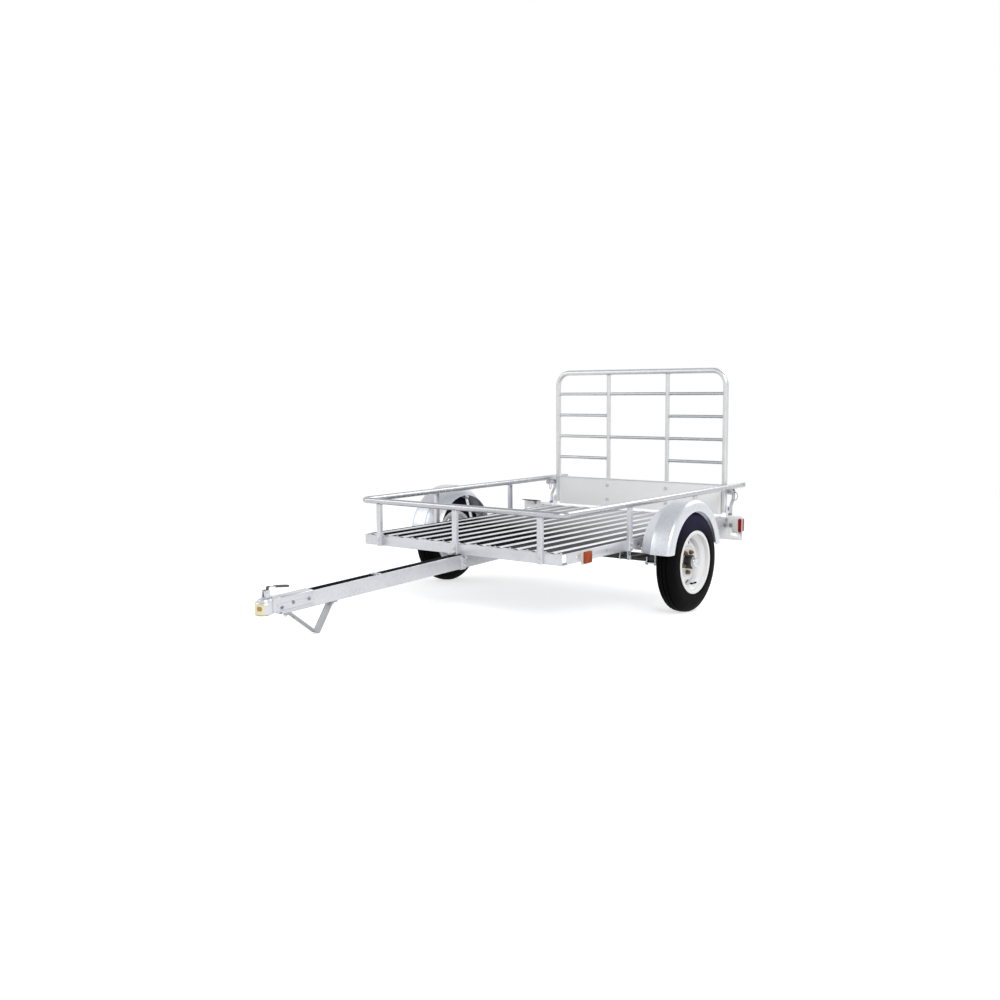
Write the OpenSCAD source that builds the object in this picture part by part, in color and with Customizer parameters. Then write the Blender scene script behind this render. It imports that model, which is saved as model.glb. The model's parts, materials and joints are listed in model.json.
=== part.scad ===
/* [Bed] */
// Length of the bed, front face to rear face
bed_l = 1790; // [1300:10:2600]
// Width of the bed over the side beams
bed_w = 1298; // [1100:2:1700]
// Height of the underside of the bed frame over the middle of the axle
bed_rise = 80; // [70:1:150]
// Depth of the frame beams
beam_h = 55; // [50:1:80]
// Width of the beam flanges
beam_w = 40; // [30:1:60]
// Thickness of the folded frame steel
beam_t = 2.5; // [2:0.1:4]
// Distance from the axle to the front face of the bed
axle_to_front = 914; // [700:1:1300]
// Thickness of the floor sheet
floor_t = 1.2; // [0.8:0.1:3]
// Height of the ribs pressed into the floor
rib_h = 6; // [4:0.5:15]
// Width of a rib at its foot
rib_w = 30; // [20:1:40]
// Number of ribs in each floor panel
ribs_per_panel = 4; // [3:1:5]

/* [Rails] */
// Diameter of the rail tube
rail_d = 32; // [25:1:40]
// Wall of the rail tube
rail_t = 1.8; // [1.2:0.1:3]
// Height of the rail over the top of the bed frame
rail_rise = 187; // [150:1:300]
// Length of side rail behind the bed
rail_back = 206; // [140:1:260]
// Radius of the front corners of the rail
rail_bend = 45; // [35:1:90]
// Width of the posts that carry the rail
post_w = 30; // [20:1:40]
// Depth of the posts
post_d = 20; // [16:1:26]
// Thickness of the post steel
post_t = 2; // [1.5:0.1:3]

/* [Tailgate] */
// Height of the gate over the top of the bed frame
gate_h = 906; // [700:1:1200]
// Gap between the side of the bed and the gate's post
gate_side_gap = 22; // [18:1:60]
// Diameter of the gate hoop tube
hoop_d = 34; // [28:1:42]
// Wall of the gate hoop tube
hoop_t = 1.6; // [1.2:0.1:3]
// Radius of the top corners of the gate
hoop_bend = 87; // [60:1:140]
// Diameter of the inner uprights
upright_d = 27; // [20:1:32]
// Distance of the inner uprights from the middle
upright_y = 215; // [120:1:300]
// Diameter of the rungs
rung_d = 20; // [14:1:25]
// Vertical distance between rungs
rung_pitch = 139.7; // [120:0.1:150]
// Height of the top edge of the lower panel over the top of the bed frame
panel_h = 201; // [150:1:240]
// Distance of the gate behind the bed
gate_gap = 26; // [25:1:40]
// Height of the gate pivots over the top of the bed frame
pivot_rise = 52; // [48:1:60]
// Diameter of the gate pivot bolts
pivot_d = 12; // [8:1:14]

/* [Tongue] */
// Width of the tongue tube
tongue_w = 50; // [50:1:60]
// Height of the tongue tube
tongue_h = 74; // [65:1:90]
// Wall of the tongue tube
tongue_t = 3; // [2:0.1:5]
// Reach of the tongue tube in front of the bed
tongue_reach = 1180; // [900:5:1500]
// Length of tongue under the bed
tongue_under = 480; // [380:5:600]
// Slope of the tongue, down to the front, in degrees
tongue_drop = 1.5; // [0.5:0.1:2]
// Diameter of the tow ball that the coupler takes
ball_d = 50.8; // [47.6,50,50.8]
// Height of the fixed stand under the tongue
stand_h = 128; // [100:1:200]
// Thickness of the stand bar
stand_t = 6; // [4:0.5:8]

/* [Wheels] */
// Diameter of the tyre
tyre_d = 536; // [500:1:560]
// Width of the tyre over its side walls
tyre_w = 114; // [108:1:128]
// Distance from the side of the bed to the middle of the tyre
wheel_gap = 178; // [170:1:260]
// Diameter of the bead seat of the rim
bead_d = 304.8; // [300:0.1:310]
// Width of the rim between its flanges
rim_w = 103; // [98:1:106]
// Distance from the inner to the outer edge of a fender
fender_w = 196; // [185:1:215]
// Distance from the tyre's tread to the fender at its sides
fender_gap = 32; // [20:1:45]
// Thickness of the fender steel
fender_t = 1.5; // [1:0.1:3]

/* [Hidden] */

$fn = 48;
fine = 0.2;          // gap between pieces that are bolted or welded face to face
pivot_play = 0.3;    // radial play of the gate pivots and of the hubs on their spindles
big_fn = 720;        // facets on arcs of large radius

// Bed
axle_z = tyre_d / 2;
bed_z = axle_z + bed_rise;
front_x = axle_to_front;
rear_x = front_x - bed_l;
half_w = bed_w / 2;
bed_top = bed_z + beam_h;
floor_edge = 4;      // side clearance of the floor sheet
panel_gap = 2;       // gap between neighbouring floor panels
panel_w = (bed_w - 2 * floor_edge - 2 * panel_gap) / 3;
rib_top = 14;        // width of a rib at its top
first_cross_x = front_x - tongue_under + 34; // middle of the foremost cross member
cross_w = 40;
cross_h = beam_h - (front_x - first_cross_x + cross_w / 2 - beam_w) * tan(tongue_drop);
cross_x = [first_cross_x, (first_cross_x + rear_x) / 2 + 200, (first_cross_x + rear_x) / 2 - 200];

// Rails
rail_z = bed_top + rail_rise;
rail_y = half_w + post_d / 2;
rail_x = front_x + post_d / 2;
rail_r = rail_d / 2;
flat_l = 95;         // length of the flattened rear end of a side rail
flat_t = 10;
rail_end_x = rear_x - rail_back;
post_top = rail_z - rail_r - fine;
front_post_y = half_w - 119;

// Tongue and coupler, in the tongue's own frame: x forward from the bed, z = 0 at the tube's top
tongue_z = bed_z - fine - beam_w * tan(tongue_drop);
sleeve_t = 3.2;
sleeve_play = 0.3;
sleeve_l = 175;      // overlap of the coupler on the tube
ball_ahead = 70;     // distance of the tow ball in front of the tube
ball_r = ball_d / 2;
socket_play = 0.35;
socket_r = ball_r + socket_play;
shell_t = 8;
socket_x = tongue_reach + ball_ahead;
coupler_low = -62;
coupler_top = sleeve_t + 3;
nose_r = socket_r + 2 * shell_t + 1;
clamp_top = -6;
clamp_gap = 0.3;
stand_w = 40;
stand_tab = 28;
foot_r = stand_t + 2;
stand_front = tongue_reach - stand_tab - 24;
stand_rear = stand_front - 245;
stand_point = [stand_front - 154, -tongue_h - stand_h + foot_r];

// Wheels
tyre_r = tyre_d / 2;
wheel_y = half_w + wheel_gap;
bead_r = bead_d / 2;
rim_t = 3;
flange_r = bead_r + 16.6;
well_r = bead_r - 24;
spindle_r = 12.7;
hub_r = 37;
hub_in = wheel_y - 50;
disc_y = wheel_y - 4;
axle_half = hub_in - 18;
axle_w = 40;

// Suspension
spring_y = half_w - beam_w / 2;
spring_w = 40;
leaf_t = 7;
spring_half = 300;
leaf_rise = 12;      // how much higher the spring's ends are than its middle
leaf_r = (spring_half * spring_half + leaf_rise * leaf_rise) / (2 * leaf_rise);
leaf_z = axle_z + axle_w / 2 + leaf_t + fine;
eye_r = 12;
eye_z = leaf_z + leaf_rise + leaf_t - 1;
eye_bolt_r = 5;
helper_half = 190;

// Fender
fender_r = tyre_r + fender_gap;
fender_z = axle_z + fender_gap - 3;
fender_inner = wheel_y - 138;
fender_outer = fender_inner + fender_w;
fender_cone = 105;   // width of the sloping inner band
fender_skirt = 50;   // depth of the outer skirt
fender_round = 38;
fender_low = bed_z - 12;
ring_r = fender_r - 60;
side_post_x = [max(front_x - 609, ring_r + 27), rear_x + 459];

// Gate
gate_x = rear_x - gate_gap;
gate_w = bed_w - 2 * gate_side_gap;
gate_top = bed_top + gate_h;
panel_top = bed_top + panel_h;
hoop_r = hoop_d / 2;
hoop_y = gate_w / 2 - hoop_r;
hoop_z = gate_top - hoop_r;
pivot_z = bed_top + pivot_rise;
post_low = pivot_z - 25;
panel_low = pivot_z - 37;
panel_t = 1.5;
panel_y = hoop_y - hoop_r - fine;
panel_x = gate_x + upright_d / 2 + fine;
rung_rows = [for (i = [1:4]) hoop_z - i * rung_pitch];

// Rear brackets and lamps
bracket_t = 3;
bracket_in = half_w - 69;
bracket_out = half_w + 93;
bracket_low = bed_z - 78;
bracket_top = bed_top + 15;
bracket_x = rear_x - bracket_t;
lamp_w = 56;
lamp_h = 79;
lamp_z = bed_z + 6.5;
lamp_y = bracket_out - 6 - lamp_w / 2;
ear_y = gate_w / 2 + 6;
ear_t = 6;
plate_rise = 12;     // height of the number plate's hood over the rear bracket

// Parked attitude: the frame turns about the axle until the foot of the stand is on the ground
function from_tongue(p) = [
    front_x + p[0] * cos(tongue_drop) + p[1] * sin(tongue_drop),
    tongue_z - p[0] * sin(tongue_drop) + p[1] * cos(tongue_drop)];
foot = from_tongue(stand_point);
foot_reach = sqrt(pow(foot[0], 2) + pow(foot[1] - axle_z, 2));
park_pitch = atan2(foot[1] - axle_z, foot[0]) + asin((axle_z - foot_r) / foot_reach);
function parked_x(p) = p[0] * cos(park_pitch) + (p[1] - axle_z) * sin(park_pitch);
front_end = parked_x(from_tongue([socket_x + nose_r, clamp_top]));
rear_end = parked_x([rail_end_x, rail_z - rail_r]);
middle_x = (front_end + rear_end) / 2;

module parked() {
    translate([-middle_x, 0, axle_z]) rotate([0, park_pitch, 0]) translate([0, 0, -axle_z]) children();
}

module on_tongue() {
    translate([front_x, 0, tongue_z]) rotate([0, tongue_drop, 0]) children();
}

// Both sides of the trailer
module both() {
    children();
    mirror([0, 1, 0]) children();
}

// Block between two corners
module block(a, b) {
    translate(a) cube(b - a);
}

// Cylinder along Y from one y to another
module along_y(x, z, y1, y2, r) {
    translate([x, y1, z]) rotate([-90, 0, 0]) cylinder(r = r, h = y2 - y1);
}

// Tube along Y
module tube_y(x, z, y1, y2, r, t) {
    difference() {
        along_y(x, z, y1, y2, r);
        along_y(x, z, y1 - 1, y2 + 1, r - t);
    }
}

// Tube standing up
module tube_z(x, y, z1, z2, r, t) {
    translate([x, y, z1]) difference() {
        cylinder(r = r, h = z2 - z1);
        translate([0, 0, -1]) cylinder(r = r - t, h = z2 - z1 + 2);
    }
}

// Quarter bend of a tube in its own XY plane, from +X round to +Y
module bend(radius, r, t) {
    rotate_extrude(angle = 90, $fn = 96) translate([radius, 0]) difference() {
        circle(r);
        circle(r - t);
    }
}

// Path moved sideways by d, with mitred corners
function unit(v) = v / norm(v);
function left_of(v) = [-v[1], v[0]];
function beside(path, d) = [for (i = [0:len(path) - 1]) let(
    last = len(path) - 1,
    before = left_of(unit(path[max(i, 1)] - path[max(i, 1) - 1])),
    after = left_of(unit(path[min(i + 1, last)] - path[min(i, last - 1)])))
    path[i] + (before + after) * d / (1 + before * after)];
function backwards(list) = [for (i = [len(list) - 1:-1:0]) list[i]];

// Flat bar bent along a path of the XZ plane, centred on its width in Y
module bent_bar(path, w, t) {
    translate([0, w / 2, 0]) rotate([90, 0, 0]) linear_extrude(w)
        polygon(concat(beside(path, t / 2), backwards(beside(path, -t / 2))));
}

module tongue() {
    color([0.78, 0.8, 0.82]) on_tongue() difference() {
        block([-tongue_under, -tongue_w / 2, -tongue_h], [tongue_reach, tongue_w / 2, 0]);
        block([-tongue_under - 1, -tongue_w / 2 + tongue_t, -tongue_h + tongue_t],
            [tongue_reach + 1, tongue_w / 2 - tongue_t, -tongue_t]);
    }
}

// U-shaped strap that holds the tongue up against the front beam
module tongue_saddle() {
    saddle_t = 4;
    saddle_front = -3;
    saddle_back = -beam_w + 1;
    side = tongue_w / 2 + fine;
    color([0.74, 0.76, 0.78]) on_tongue() {
        difference() {
            block([saddle_back, -side - saddle_t, -tongue_h - fine - saddle_t], [saddle_front, side + saddle_t, 0]);
            block([saddle_back - 1, -side, -tongue_h - fine], [saddle_front + 1, side, 1]);
        }
        for (s = [-1, 1]) translate([0, s * (side + saddle_t + 14.9), 0])
            block([saddle_back, -15, -saddle_t], [saddle_front, 15, 0]);
    }
}

module coupler_body() {
    side = tongue_w / 2 + sleeve_play;
    rear = tongue_reach - sleeve_l;
    web_x = socket_x - socket_r - shell_t;
    color([0.82, 0.83, 0.85]) on_tongue() difference() {
        union() {
            block([rear, -side - sleeve_t, coupler_low], [web_x + 20, side + sleeve_t, sleeve_play + sleeve_t]);
            translate([socket_x, 0, coupler_low])
                cylinder(r = socket_r + shell_t, h = coupler_top - coupler_low);
        }
        block([rear - 1, -side, coupler_low - 1], [web_x, side, sleeve_play]);
        translate([socket_x, 0, coupler_low - 1]) cylinder(r = socket_r, h = 1 - coupler_low - 16);
    }
}

// Crescent that closes round the front of the tow ball
module coupler_clamp() {
    inner = socket_r + shell_t + clamp_gap;
    color([0.85, 0.7, 0.3]) on_tongue() translate([socket_x, 0, 0]) difference() {
        translate([0, 0, coupler_low]) cylinder(r = nose_r, h = clamp_top - coupler_low);
        translate([0, 0, coupler_low - 1]) cylinder(r = inner, h = clamp_top - coupler_low + 2);
        translate([-2 * nose_r, -nose_r - 1, coupler_low - 1])
            cube([2 * nose_r + 8, 2 * nose_r + 2, clamp_top - coupler_low + 2]);
    }
}

// Latch lever on its two ears
module coupler_latch() {
    base = coupler_top + fine;
    lever_x = socket_x - 6;
    lever_top = base + 46;
    color([0.55, 0.56, 0.57]) on_tongue() {
        block([lever_x - 26, -13, base], [lever_x + 14, 13, base + 4]);
        for (s = [-1, 1]) translate([0, s * 11, 0]) block([lever_x - 14, -2, base], [lever_x + 8, 2, base + 34]);
        bent_bar([[lever_x, base + 1], [lever_x, lever_top], [lever_x - 118, lever_top - 15]], 17.6, 6);
        along_y(lever_x, base + 22, -17, 17, 4);
    }
}

// Fixed V-shaped foot, bent from one flat bar
module tongue_stand() {
    bar_z = -tongue_h - fine - stand_t / 2;
    head = [stand_front, bar_z];
    tail = [stand_rear, bar_z];
    start = left_of(unit(stand_point - head));
    end = left_of(unit(tail - stand_point));
    from = atan2(start[1], start[0]);
    to = atan2(end[1], end[0]);
    steps = 6;
    toe = [for (i = [0:steps]) let(a = from + (to - from) * i / steps)
        stand_point + (foot_r - stand_t / 2) * [cos(a), sin(a)]];
    color([0.75, 0.77, 0.8]) on_tongue()
        bent_bar(concat([head + [stand_tab, 0], head], toe, [tail, tail - [stand_tab, 0]]), stand_w, stand_t);
}

// Folded channel lying along Y: web at x = 0, flanges towards +X
module channel_y(length, w, h, t) {
    difference() {
        block([0, -length / 2, 0], [w, length / 2, h]);
        block([t, -length / 2 - 1, t], [w + 1, length / 2 + 1, h - t]);
    }
}

module front_beam() {
    color([0.8, 0.82, 0.84]) translate([front_x, 0, bed_z]) mirror([1, 0, 0])
        channel_y(bed_w, beam_w, beam_h, beam_t);
}

module rear_beam() {
    color([0.8, 0.82, 0.84]) translate([rear_x, 0, bed_z]) channel_y(bed_w, beam_w, beam_h, beam_t);
}

// Folded channel along X on the left side, open to the middle
module side_beam() {
    front = front_x - beam_w - fine;
    rear = rear_x + beam_w + fine;
    color([0.78, 0.8, 0.82]) difference() {
        block([rear, half_w - beam_w, bed_z], [front, half_w, bed_top]);
        block([rear - 1, half_w - beam_w - 1, bed_z + beam_t], [front + 1, half_w - beam_t, bed_top - beam_t]);
    }
}

// Three folded channels, open below, between the side beams
module cross_members() {
    reach = half_w - beam_w - fine;
    color([0.72, 0.74, 0.76]) for (x = cross_x) difference() {
        block([x - cross_w / 2, -reach, bed_top - cross_h], [x + cross_w / 2, reach, bed_top]);
        block([x - cross_w / 2 + beam_t, -reach - 1, bed_top - cross_h - 1],
            [x + cross_w / 2 - beam_t, reach + 1, bed_top - beam_t]);
    }
}

// Cross-section of one floor panel, half its width either side of 0
function rib_points(c, h) = [[c - rib_w / 2, 0], [c - rib_top / 2, h], [c + rib_top / 2, h], [c + rib_w / 2, 0]];
rib_pitch = panel_w / ribs_per_panel;
rib_line = [for (i = [0:ribs_per_panel - 1])
    each rib_points((i + 0.5) * rib_pitch - panel_w / 2, rib_h - floor_t)];
sheet_line = concat([[-panel_w / 2, 0]], rib_line, [[panel_w / 2, 0]]);

module floor_panels() {
    color([0.66, 0.69, 0.72]) for (k = [-1:1])
        translate([rear_x, k * (panel_w + panel_gap), bed_top + fine]) rotate([90, 0, 90])
            linear_extrude(bed_l) polygon(concat(
                [for (p = sheet_line) p + [0, floor_t]],
                backwards(sheet_line)));
}

// Front tube of the rail with its two bent corners
module front_rail() {
    straight = rail_y - rail_bend;
    color([0.75, 0.77, 0.79]) {
        tube_y(rail_x, rail_z, -straight, straight, rail_r, rail_t);
        both() translate([rail_x - rail_bend, straight, rail_z]) bend(rail_bend, rail_r, rail_t);
    }
}

// Side tube of the rail, flattened and drilled at its rear end
module side_rail() {
    front = rail_x - rail_bend - fine;
    tube_end = rail_end_x + flat_l;
    color([0.75, 0.77, 0.79]) difference() {
        union() {
            translate([tube_end, rail_y, rail_z]) rotate([0, 90, 0]) difference() {
                cylinder(r = rail_r, h = front - tube_end);
                translate([0, 0, 4]) cylinder(r = rail_r - rail_t, h = front - tube_end);
            }
            block([rail_end_x, rail_y - flat_t / 2, rail_z - rail_r], [tube_end + 1, rail_y + flat_t / 2, rail_z + rail_r]);
        }
        along_y(rail_end_x + 22, rail_z, rail_y - flat_t, rail_y + flat_t, 6);
    }
}

// Channel post, web outwards along +X, standing on the beam's lower edge
module post() {
    difference() {
        block([0, -post_w / 2, bed_z], [post_d, post_w / 2, post_top]);
        block([-1, -post_w / 2 + post_t, bed_z - 1], [post_d - post_t, post_w / 2 - post_t, post_top + 1]);
    }
}

module front_posts() {
    color([0.82, 0.84, 0.86]) for (k = [-1:1]) translate([front_x + fine, k * front_post_y, 0]) post();
}

module side_posts() {
    color([0.82, 0.84, 0.86]) for (x = side_post_x) translate([x, half_w + fine, 0]) rotate([0, 0, 90]) post();
}

// Bent flat bars that carry the rear of the side rails
module rear_stays() {
    stay_t = 4;
    stay_w = 22;
    step_z = (bracket_top + rail_z) / 2;
    x0 = rear_x - 14;
    x1 = gate_x - 24;
    low = bracket_top + fine + stay_t / 2;
    top = rail_z - rail_r - fine;
    color([0.6, 0.62, 0.64]) both() translate([0, rail_y, 0])
        bent_bar([[x0 + 14, low], [x0, low], [x0, step_z - 22], [x1, step_z + 22], [x1, top]], stay_w, stay_t);
}

// Plate behind the bed's rear corner with the lamp's window and the ear of the gate pivot
module rear_bracket() {
    inner_top = bed_top;
    lip = 24;
    window = 0.5;
    color([0.84, 0.85, 0.87]) {
        difference() {
            union() {
                block([bracket_x, bracket_in, bracket_low], [rear_x - fine, half_w + 1, inner_top]);
                block([bracket_x, half_w, bracket_low], [rear_x - fine, bracket_out, bracket_top]);
                block([bracket_x - lip, half_w, bracket_top - bracket_t], [rear_x - fine, bracket_out, bracket_top]);
            }
            block([bracket_x - 5, lamp_y - lamp_w / 2 - window, lamp_z - 33 - window],
                [rear_x + 1, lamp_y + lamp_w / 2 + window, lamp_z + lamp_h - 33 + window]);
        }
        block([gate_x - 18, ear_y, inner_top - 45], [bracket_x + 1, ear_y + ear_t, pivot_z]);
        along_y(gate_x, pivot_z, ear_y, ear_y + ear_t, 18);
        along_y(gate_x, pivot_z, hoop_y - hoop_r + 1, ear_y + 1, pivot_d / 2);
        along_y(gate_x, pivot_z, ear_y + ear_t - 1, ear_y + ear_t + 6, pivot_d * 0.8);
    }
}

// Hooded bracket for the number plate, outboard of the right rear bracket
module number_plate_bracket() {
    out = fender_outer - 6;
    top = bracket_top + plate_rise;
    color([0.8, 0.81, 0.83]) mirror([0, 1, 0]) {
        block([bracket_x, bracket_out + fine, bracket_top - 62], [bracket_x + 4, out, top - 3]);
        block([bracket_x, bracket_out + fine, top - 3], [bracket_x + 34, out, top]);
    }
}

module tail_lamps() {
    color([0.75, 0.08, 0.08]) both()
        block([bracket_x - 38, lamp_y - lamp_w / 2, lamp_z - 33], [rear_x + 8, lamp_y + lamp_w / 2, lamp_z + lamp_h - 33]);
}

module side_markers() {
    color([0.9, 0.45, 0.1]) both()
        block([front_x - 236, half_w + fine, bed_z - 14], [front_x - 164, half_w + 24, bed_z + 54]);
}

// Sheet section of a fender: y runs outwards, x is the radius
function round_points(c, r, a, b, n) = [for (i = [0:n]) c + r * [cos(a + (b - a) * i / n), sin(a + (b - a) * i / n)]];
function fender_line(off) = concat(
    [[ring_r - off, 0], [fender_r - off, fender_cone - off * 0.3]],
    round_points([fender_r - fender_round, fender_w - fender_round], fender_round - off, 0, 90, 8),
    [[fender_r - fender_skirt, fender_w - off]]);

module fender() {
    outer = fender_line(0);
    inner = fender_line(fender_t);
    color([0.8, 0.83, 0.85]) intersection() {
        translate([0, fender_inner, fender_z]) rotate([-90, 0, 0])
            rotate_extrude($fn = 180) polygon(concat(outer, backwards(inner)));
        block([-fender_r - 10, fender_inner - 10, fender_low], [fender_r + 10, fender_outer + 10, fender_z + fender_r + 10]);
    }
}

// Angle plates on the side beams with arms out to the fenders
module fender_brackets() {
    arm_z = fender_low + 12;
    arm_x = sqrt(pow(ring_r, 2) - pow(arm_z - fender_z, 2));
    plate_t = 3;
    color([0.8, 0.81, 0.83]) both() for (s = [-1, 1]) {
        block([s * arm_x - 45, half_w + fine, bed_z + 2], [s * arm_x + 15, half_w + plate_t, bed_top]);
        block([s * arm_x - 14, half_w + plate_t - 1, arm_z - 2], [s * arm_x + 14, fender_inner - fine, arm_z + 2]);
    }
}

// Flat stays that slope from the side beams up to the inner edge of the fenders
module fender_stays() {
    stay_t = 3;
    stay_w = 24;
    foot_y = half_w + fine + stay_t / 2;
    head_y = fender_inner - fine - stay_t / 2;
    foot_z = bed_top - 8;
    head_z = fender_z + ring_r - 4;
    color([0.84, 0.85, 0.87]) both() translate([-10, 0, 0]) rotate([0, 0, 90])
        bent_bar([[foot_y, foot_z - 36], [foot_y, foot_z], [head_y, head_z - 22], [head_y, head_z + 6]],
            stay_w, stay_t);
}

// Square beam with a round spindle at each end
module axle() {
    spindle_end = wheel_y + 42;
    color([0.35, 0.36, 0.38]) {
        difference() {
            block([-axle_w / 2, -axle_half, axle_z - axle_w / 2], [axle_w / 2, axle_half, axle_z + axle_w / 2]);
            block([-axle_w / 2 + 3, -axle_half + 8, axle_z - axle_w / 2 + 3],
                [axle_w / 2 - 3, axle_half - 8, axle_z + axle_w / 2 - 3]);
        }
        both() along_y(0, axle_z, axle_half - 0.5, spindle_end, spindle_r);
    }
}

// One bowed leaf of half length l, its underside z above the axle at the middle
module leaf(l, z) {
    intersection() {
        translate([0, spring_y - spring_w / 2, z + leaf_r + leaf_t]) rotate([-90, 0, 0]) difference() {
            cylinder(r = leaf_r + leaf_t, h = spring_w, $fn = big_fn);
            translate([0, 0, -1]) cylinder(r = leaf_r, h = spring_w + 2, $fn = big_fn);
        }
        block([-l, spring_y - spring_w, z - 1], [l, spring_y + spring_w, z + 60]);
    }
}

module leaf_springs() {
    color([0.3, 0.31, 0.33]) both() difference() {
        union() {
            leaf(helper_half, leaf_z - leaf_t);
            leaf(spring_half, leaf_z);
            for (s = [-1, 1]) along_y(s * spring_half, eye_z, spring_y - spring_w / 2, spring_y + spring_w / 2, eye_r);
        }
        for (s = [-1, 1]) along_y(s * spring_half, eye_z, spring_y - spring_w, spring_y + spring_w, eye_bolt_r + fine);
    }
}

// Folded hangers under the side beams with the bolts of the spring eyes
module spring_hangers() {
    side = spring_w / 2 + 1;
    wall = 3;
    low = eye_z - eye_r - 2;
    color([0.5, 0.51, 0.53]) both() for (s = [-1, 1]) translate([s * spring_half, spring_y, 0]) {
        difference() {
            block([-16, -side - wall, low], [16, side + wall, bed_z - fine]);
            block([-17, -side, low - 1], [17, side, bed_z - fine - wall]);
        }
        along_y(0, eye_z, -side - 1, side + 1, eye_bolt_r);
        for (e = [-1, 1]) translate([0, e * (side + wall + 2.5), 0]) along_y(0, eye_z, -3, 3, 9);
    }
}

// Plates and U-bolts that clamp the springs on the axle
module axle_clamps() {
    rod_r = 5;
    rod_x = axle_w / 2 + rod_r + 2;
    rod_y = spring_w / 2 + rod_r + 1;
    top = leaf_z + leaf_t + fine + 0.2;
    low = axle_z - axle_w / 2 - fine;
    color([0.5, 0.51, 0.53]) both() translate([0, spring_y, 0]) {
        block([-rod_x - 12, -rod_y - 9, top + 0.6], [rod_x + 12, rod_y + 9, top + 6.6]);
        block([-rod_x - 9, -rod_y - 9, low - 6], [rod_x + 9, rod_y + 9, low]);
        for (sx = [-1, 1], sy = [-1, 1])
            translate([sx * rod_x, sy * rod_y, low - 14]) cylinder(r = rod_r, h = top + 14 - low + 14);
    }
}

// Hub with its flange and dust cap, hollow for the spindle
module hub() {
    cap_y = wheel_y + 60;
    color([0.12, 0.12, 0.13]) difference() {
        union() {
            along_y(0, axle_z, hub_in, wheel_y + 40, hub_r);
            along_y(0, axle_z, disc_y - 10, disc_y - fine, 66);
            along_y(0, axle_z, wheel_y + 39, cap_y, 28);
        }
        along_y(0, axle_z, hub_in - 1, wheel_y + 30, spindle_r + pivot_play);
        along_y(0, axle_z, wheel_y + 29, cap_y - 2, 25);
    }
}

// Steel rim with its drop well and pressed disc
module rim() {
    half = rim_w / 2;
    disc_r = well_r - rim_t / 2;
    vent_at = 105;
    profile = [
        [flange_r, -half - rim_t], [flange_r, -half], [bead_r, -half], [bead_r, -half + 20], [well_r, -half + 36],
        [well_r, half - 36], [bead_r, half - 20], [bead_r, half], [flange_r, half], [flange_r, half + rim_t],
        [bead_r - rim_t, half + rim_t], [bead_r - rim_t, half - 19], [well_r - rim_t, half - 34],
        [well_r - rim_t, -half + 34], [bead_r - rim_t, -half + 19], [bead_r - rim_t, -half - rim_t]];
    color([0.95, 0.95, 0.95]) translate([0, wheel_y, axle_z]) rotate([-90, 0, 0]) difference() {
        union() {
            rotate_extrude($fn = 120) polygon(profile);
            translate([0, 0, disc_y - wheel_y]) cylinder(r = disc_r, h = 5, $fn = 96);
        }
        translate([0, 0, disc_y - wheel_y - 1]) cylinder(r = hub_r + fine, h = 8);
        for (s = [-1, 1]) translate([0, s * vent_at, disc_y - wheel_y - 1]) cylinder(r = 9, h = 8);
    }
}

// Section of a tyre: half width at each radius, from the bead over the side wall to the crown
bead_y = rim_w / 2 - 0.4;
side_low = flange_r + 1.5;
side_top = tyre_r - 27;
shoulder_y = bead_y - 8;
function side_points(off, n) = [for (i = [0:n]) [
    side_low + (side_top - off * 0.6 - side_low) * i / n,
    bead_y - off + (tyre_w / 2 - bead_y) * pow(sin(180 * i / n), 0.8) + (shoulder_y - bead_y) * pow(i / n, 3)]];
function crown_points(off, n) = [for (i = [1:n]) [
    side_top - off * 0.6 + (tyre_r - side_top - off * 0.6) * pow(sin(90 * i / n), 1.2),
    (shoulder_y - off) * pow(cos(90 * i / n), 0.5)]];
function half_section(off) = concat(
    [[bead_r + 0.3, bead_y - off]], side_points(off, 12), crown_points(off, 8));

module tyre() {
    outer = half_section(0);
    inner = half_section(9);
    function mirrored(line) = [for (p = line) [p[0], -p[1]]];
    color([0.1, 0.1, 0.11]) translate([0, wheel_y, axle_z]) rotate([-90, 0, 0]) rotate_extrude($fn = 120)
        polygon(concat(outer, backwards(mirrored(outer)), mirrored(inner), backwards(inner)));
}

// Outer hoop of the gate, drilled for its pivots
module gate_hoop() {
    bend_y = hoop_y - hoop_bend;
    bend_z = hoop_z - hoop_bend;
    color([0.74, 0.76, 0.77]) difference() {
        union() {
            tube_y(gate_x, hoop_z, -bend_y, bend_y, hoop_r, hoop_t);
            both() {
                tube_z(gate_x, hoop_y, post_low, bend_z, hoop_r, hoop_t);
                translate([gate_x, bend_y, bend_z]) rotate([90, 0, 90]) bend(hoop_bend, hoop_r, hoop_t);
            }
        }
        along_y(gate_x, pivot_z, -gate_w, gate_w, pivot_d / 2 + pivot_play);
    }
}

module gate_uprights() {
    color([0.74, 0.76, 0.77]) both()
        tube_z(gate_x, upright_y, post_low, hoop_z - hoop_r - fine, upright_d / 2, 1.5);
}

// Four rungs in each outer bay, two across the middle bay
module gate_rungs() {
    bay_in = upright_y + upright_d / 2 + fine;
    bay_out = hoop_y - hoop_r - fine;
    middle = upright_y - upright_d / 2 - fine;
    color([0.74, 0.76, 0.77]) {
        both() for (z = rung_rows) tube_y(gate_x, z, bay_in, bay_out, rung_d / 2, 1.5);
        for (i = [0, 2]) tube_y(gate_x, rung_rows[i], -middle, middle, rung_d / 2, 1.5);
    }
}

// Lower sheet of the gate, folded at its top and ends
module gate_panel() {
    fold = 12;
    color([0.85, 0.87, 0.9]) {
        block([panel_x, -panel_y, panel_low], [panel_x + panel_t, panel_y, panel_top]);
        block([panel_x, -panel_y, panel_top - panel_t], [panel_x + fold, panel_y, panel_top]);
        both() block([gate_x - 8, panel_y - panel_t, panel_low], [panel_x + 1, panel_y, panel_top]);
    }
}

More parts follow.
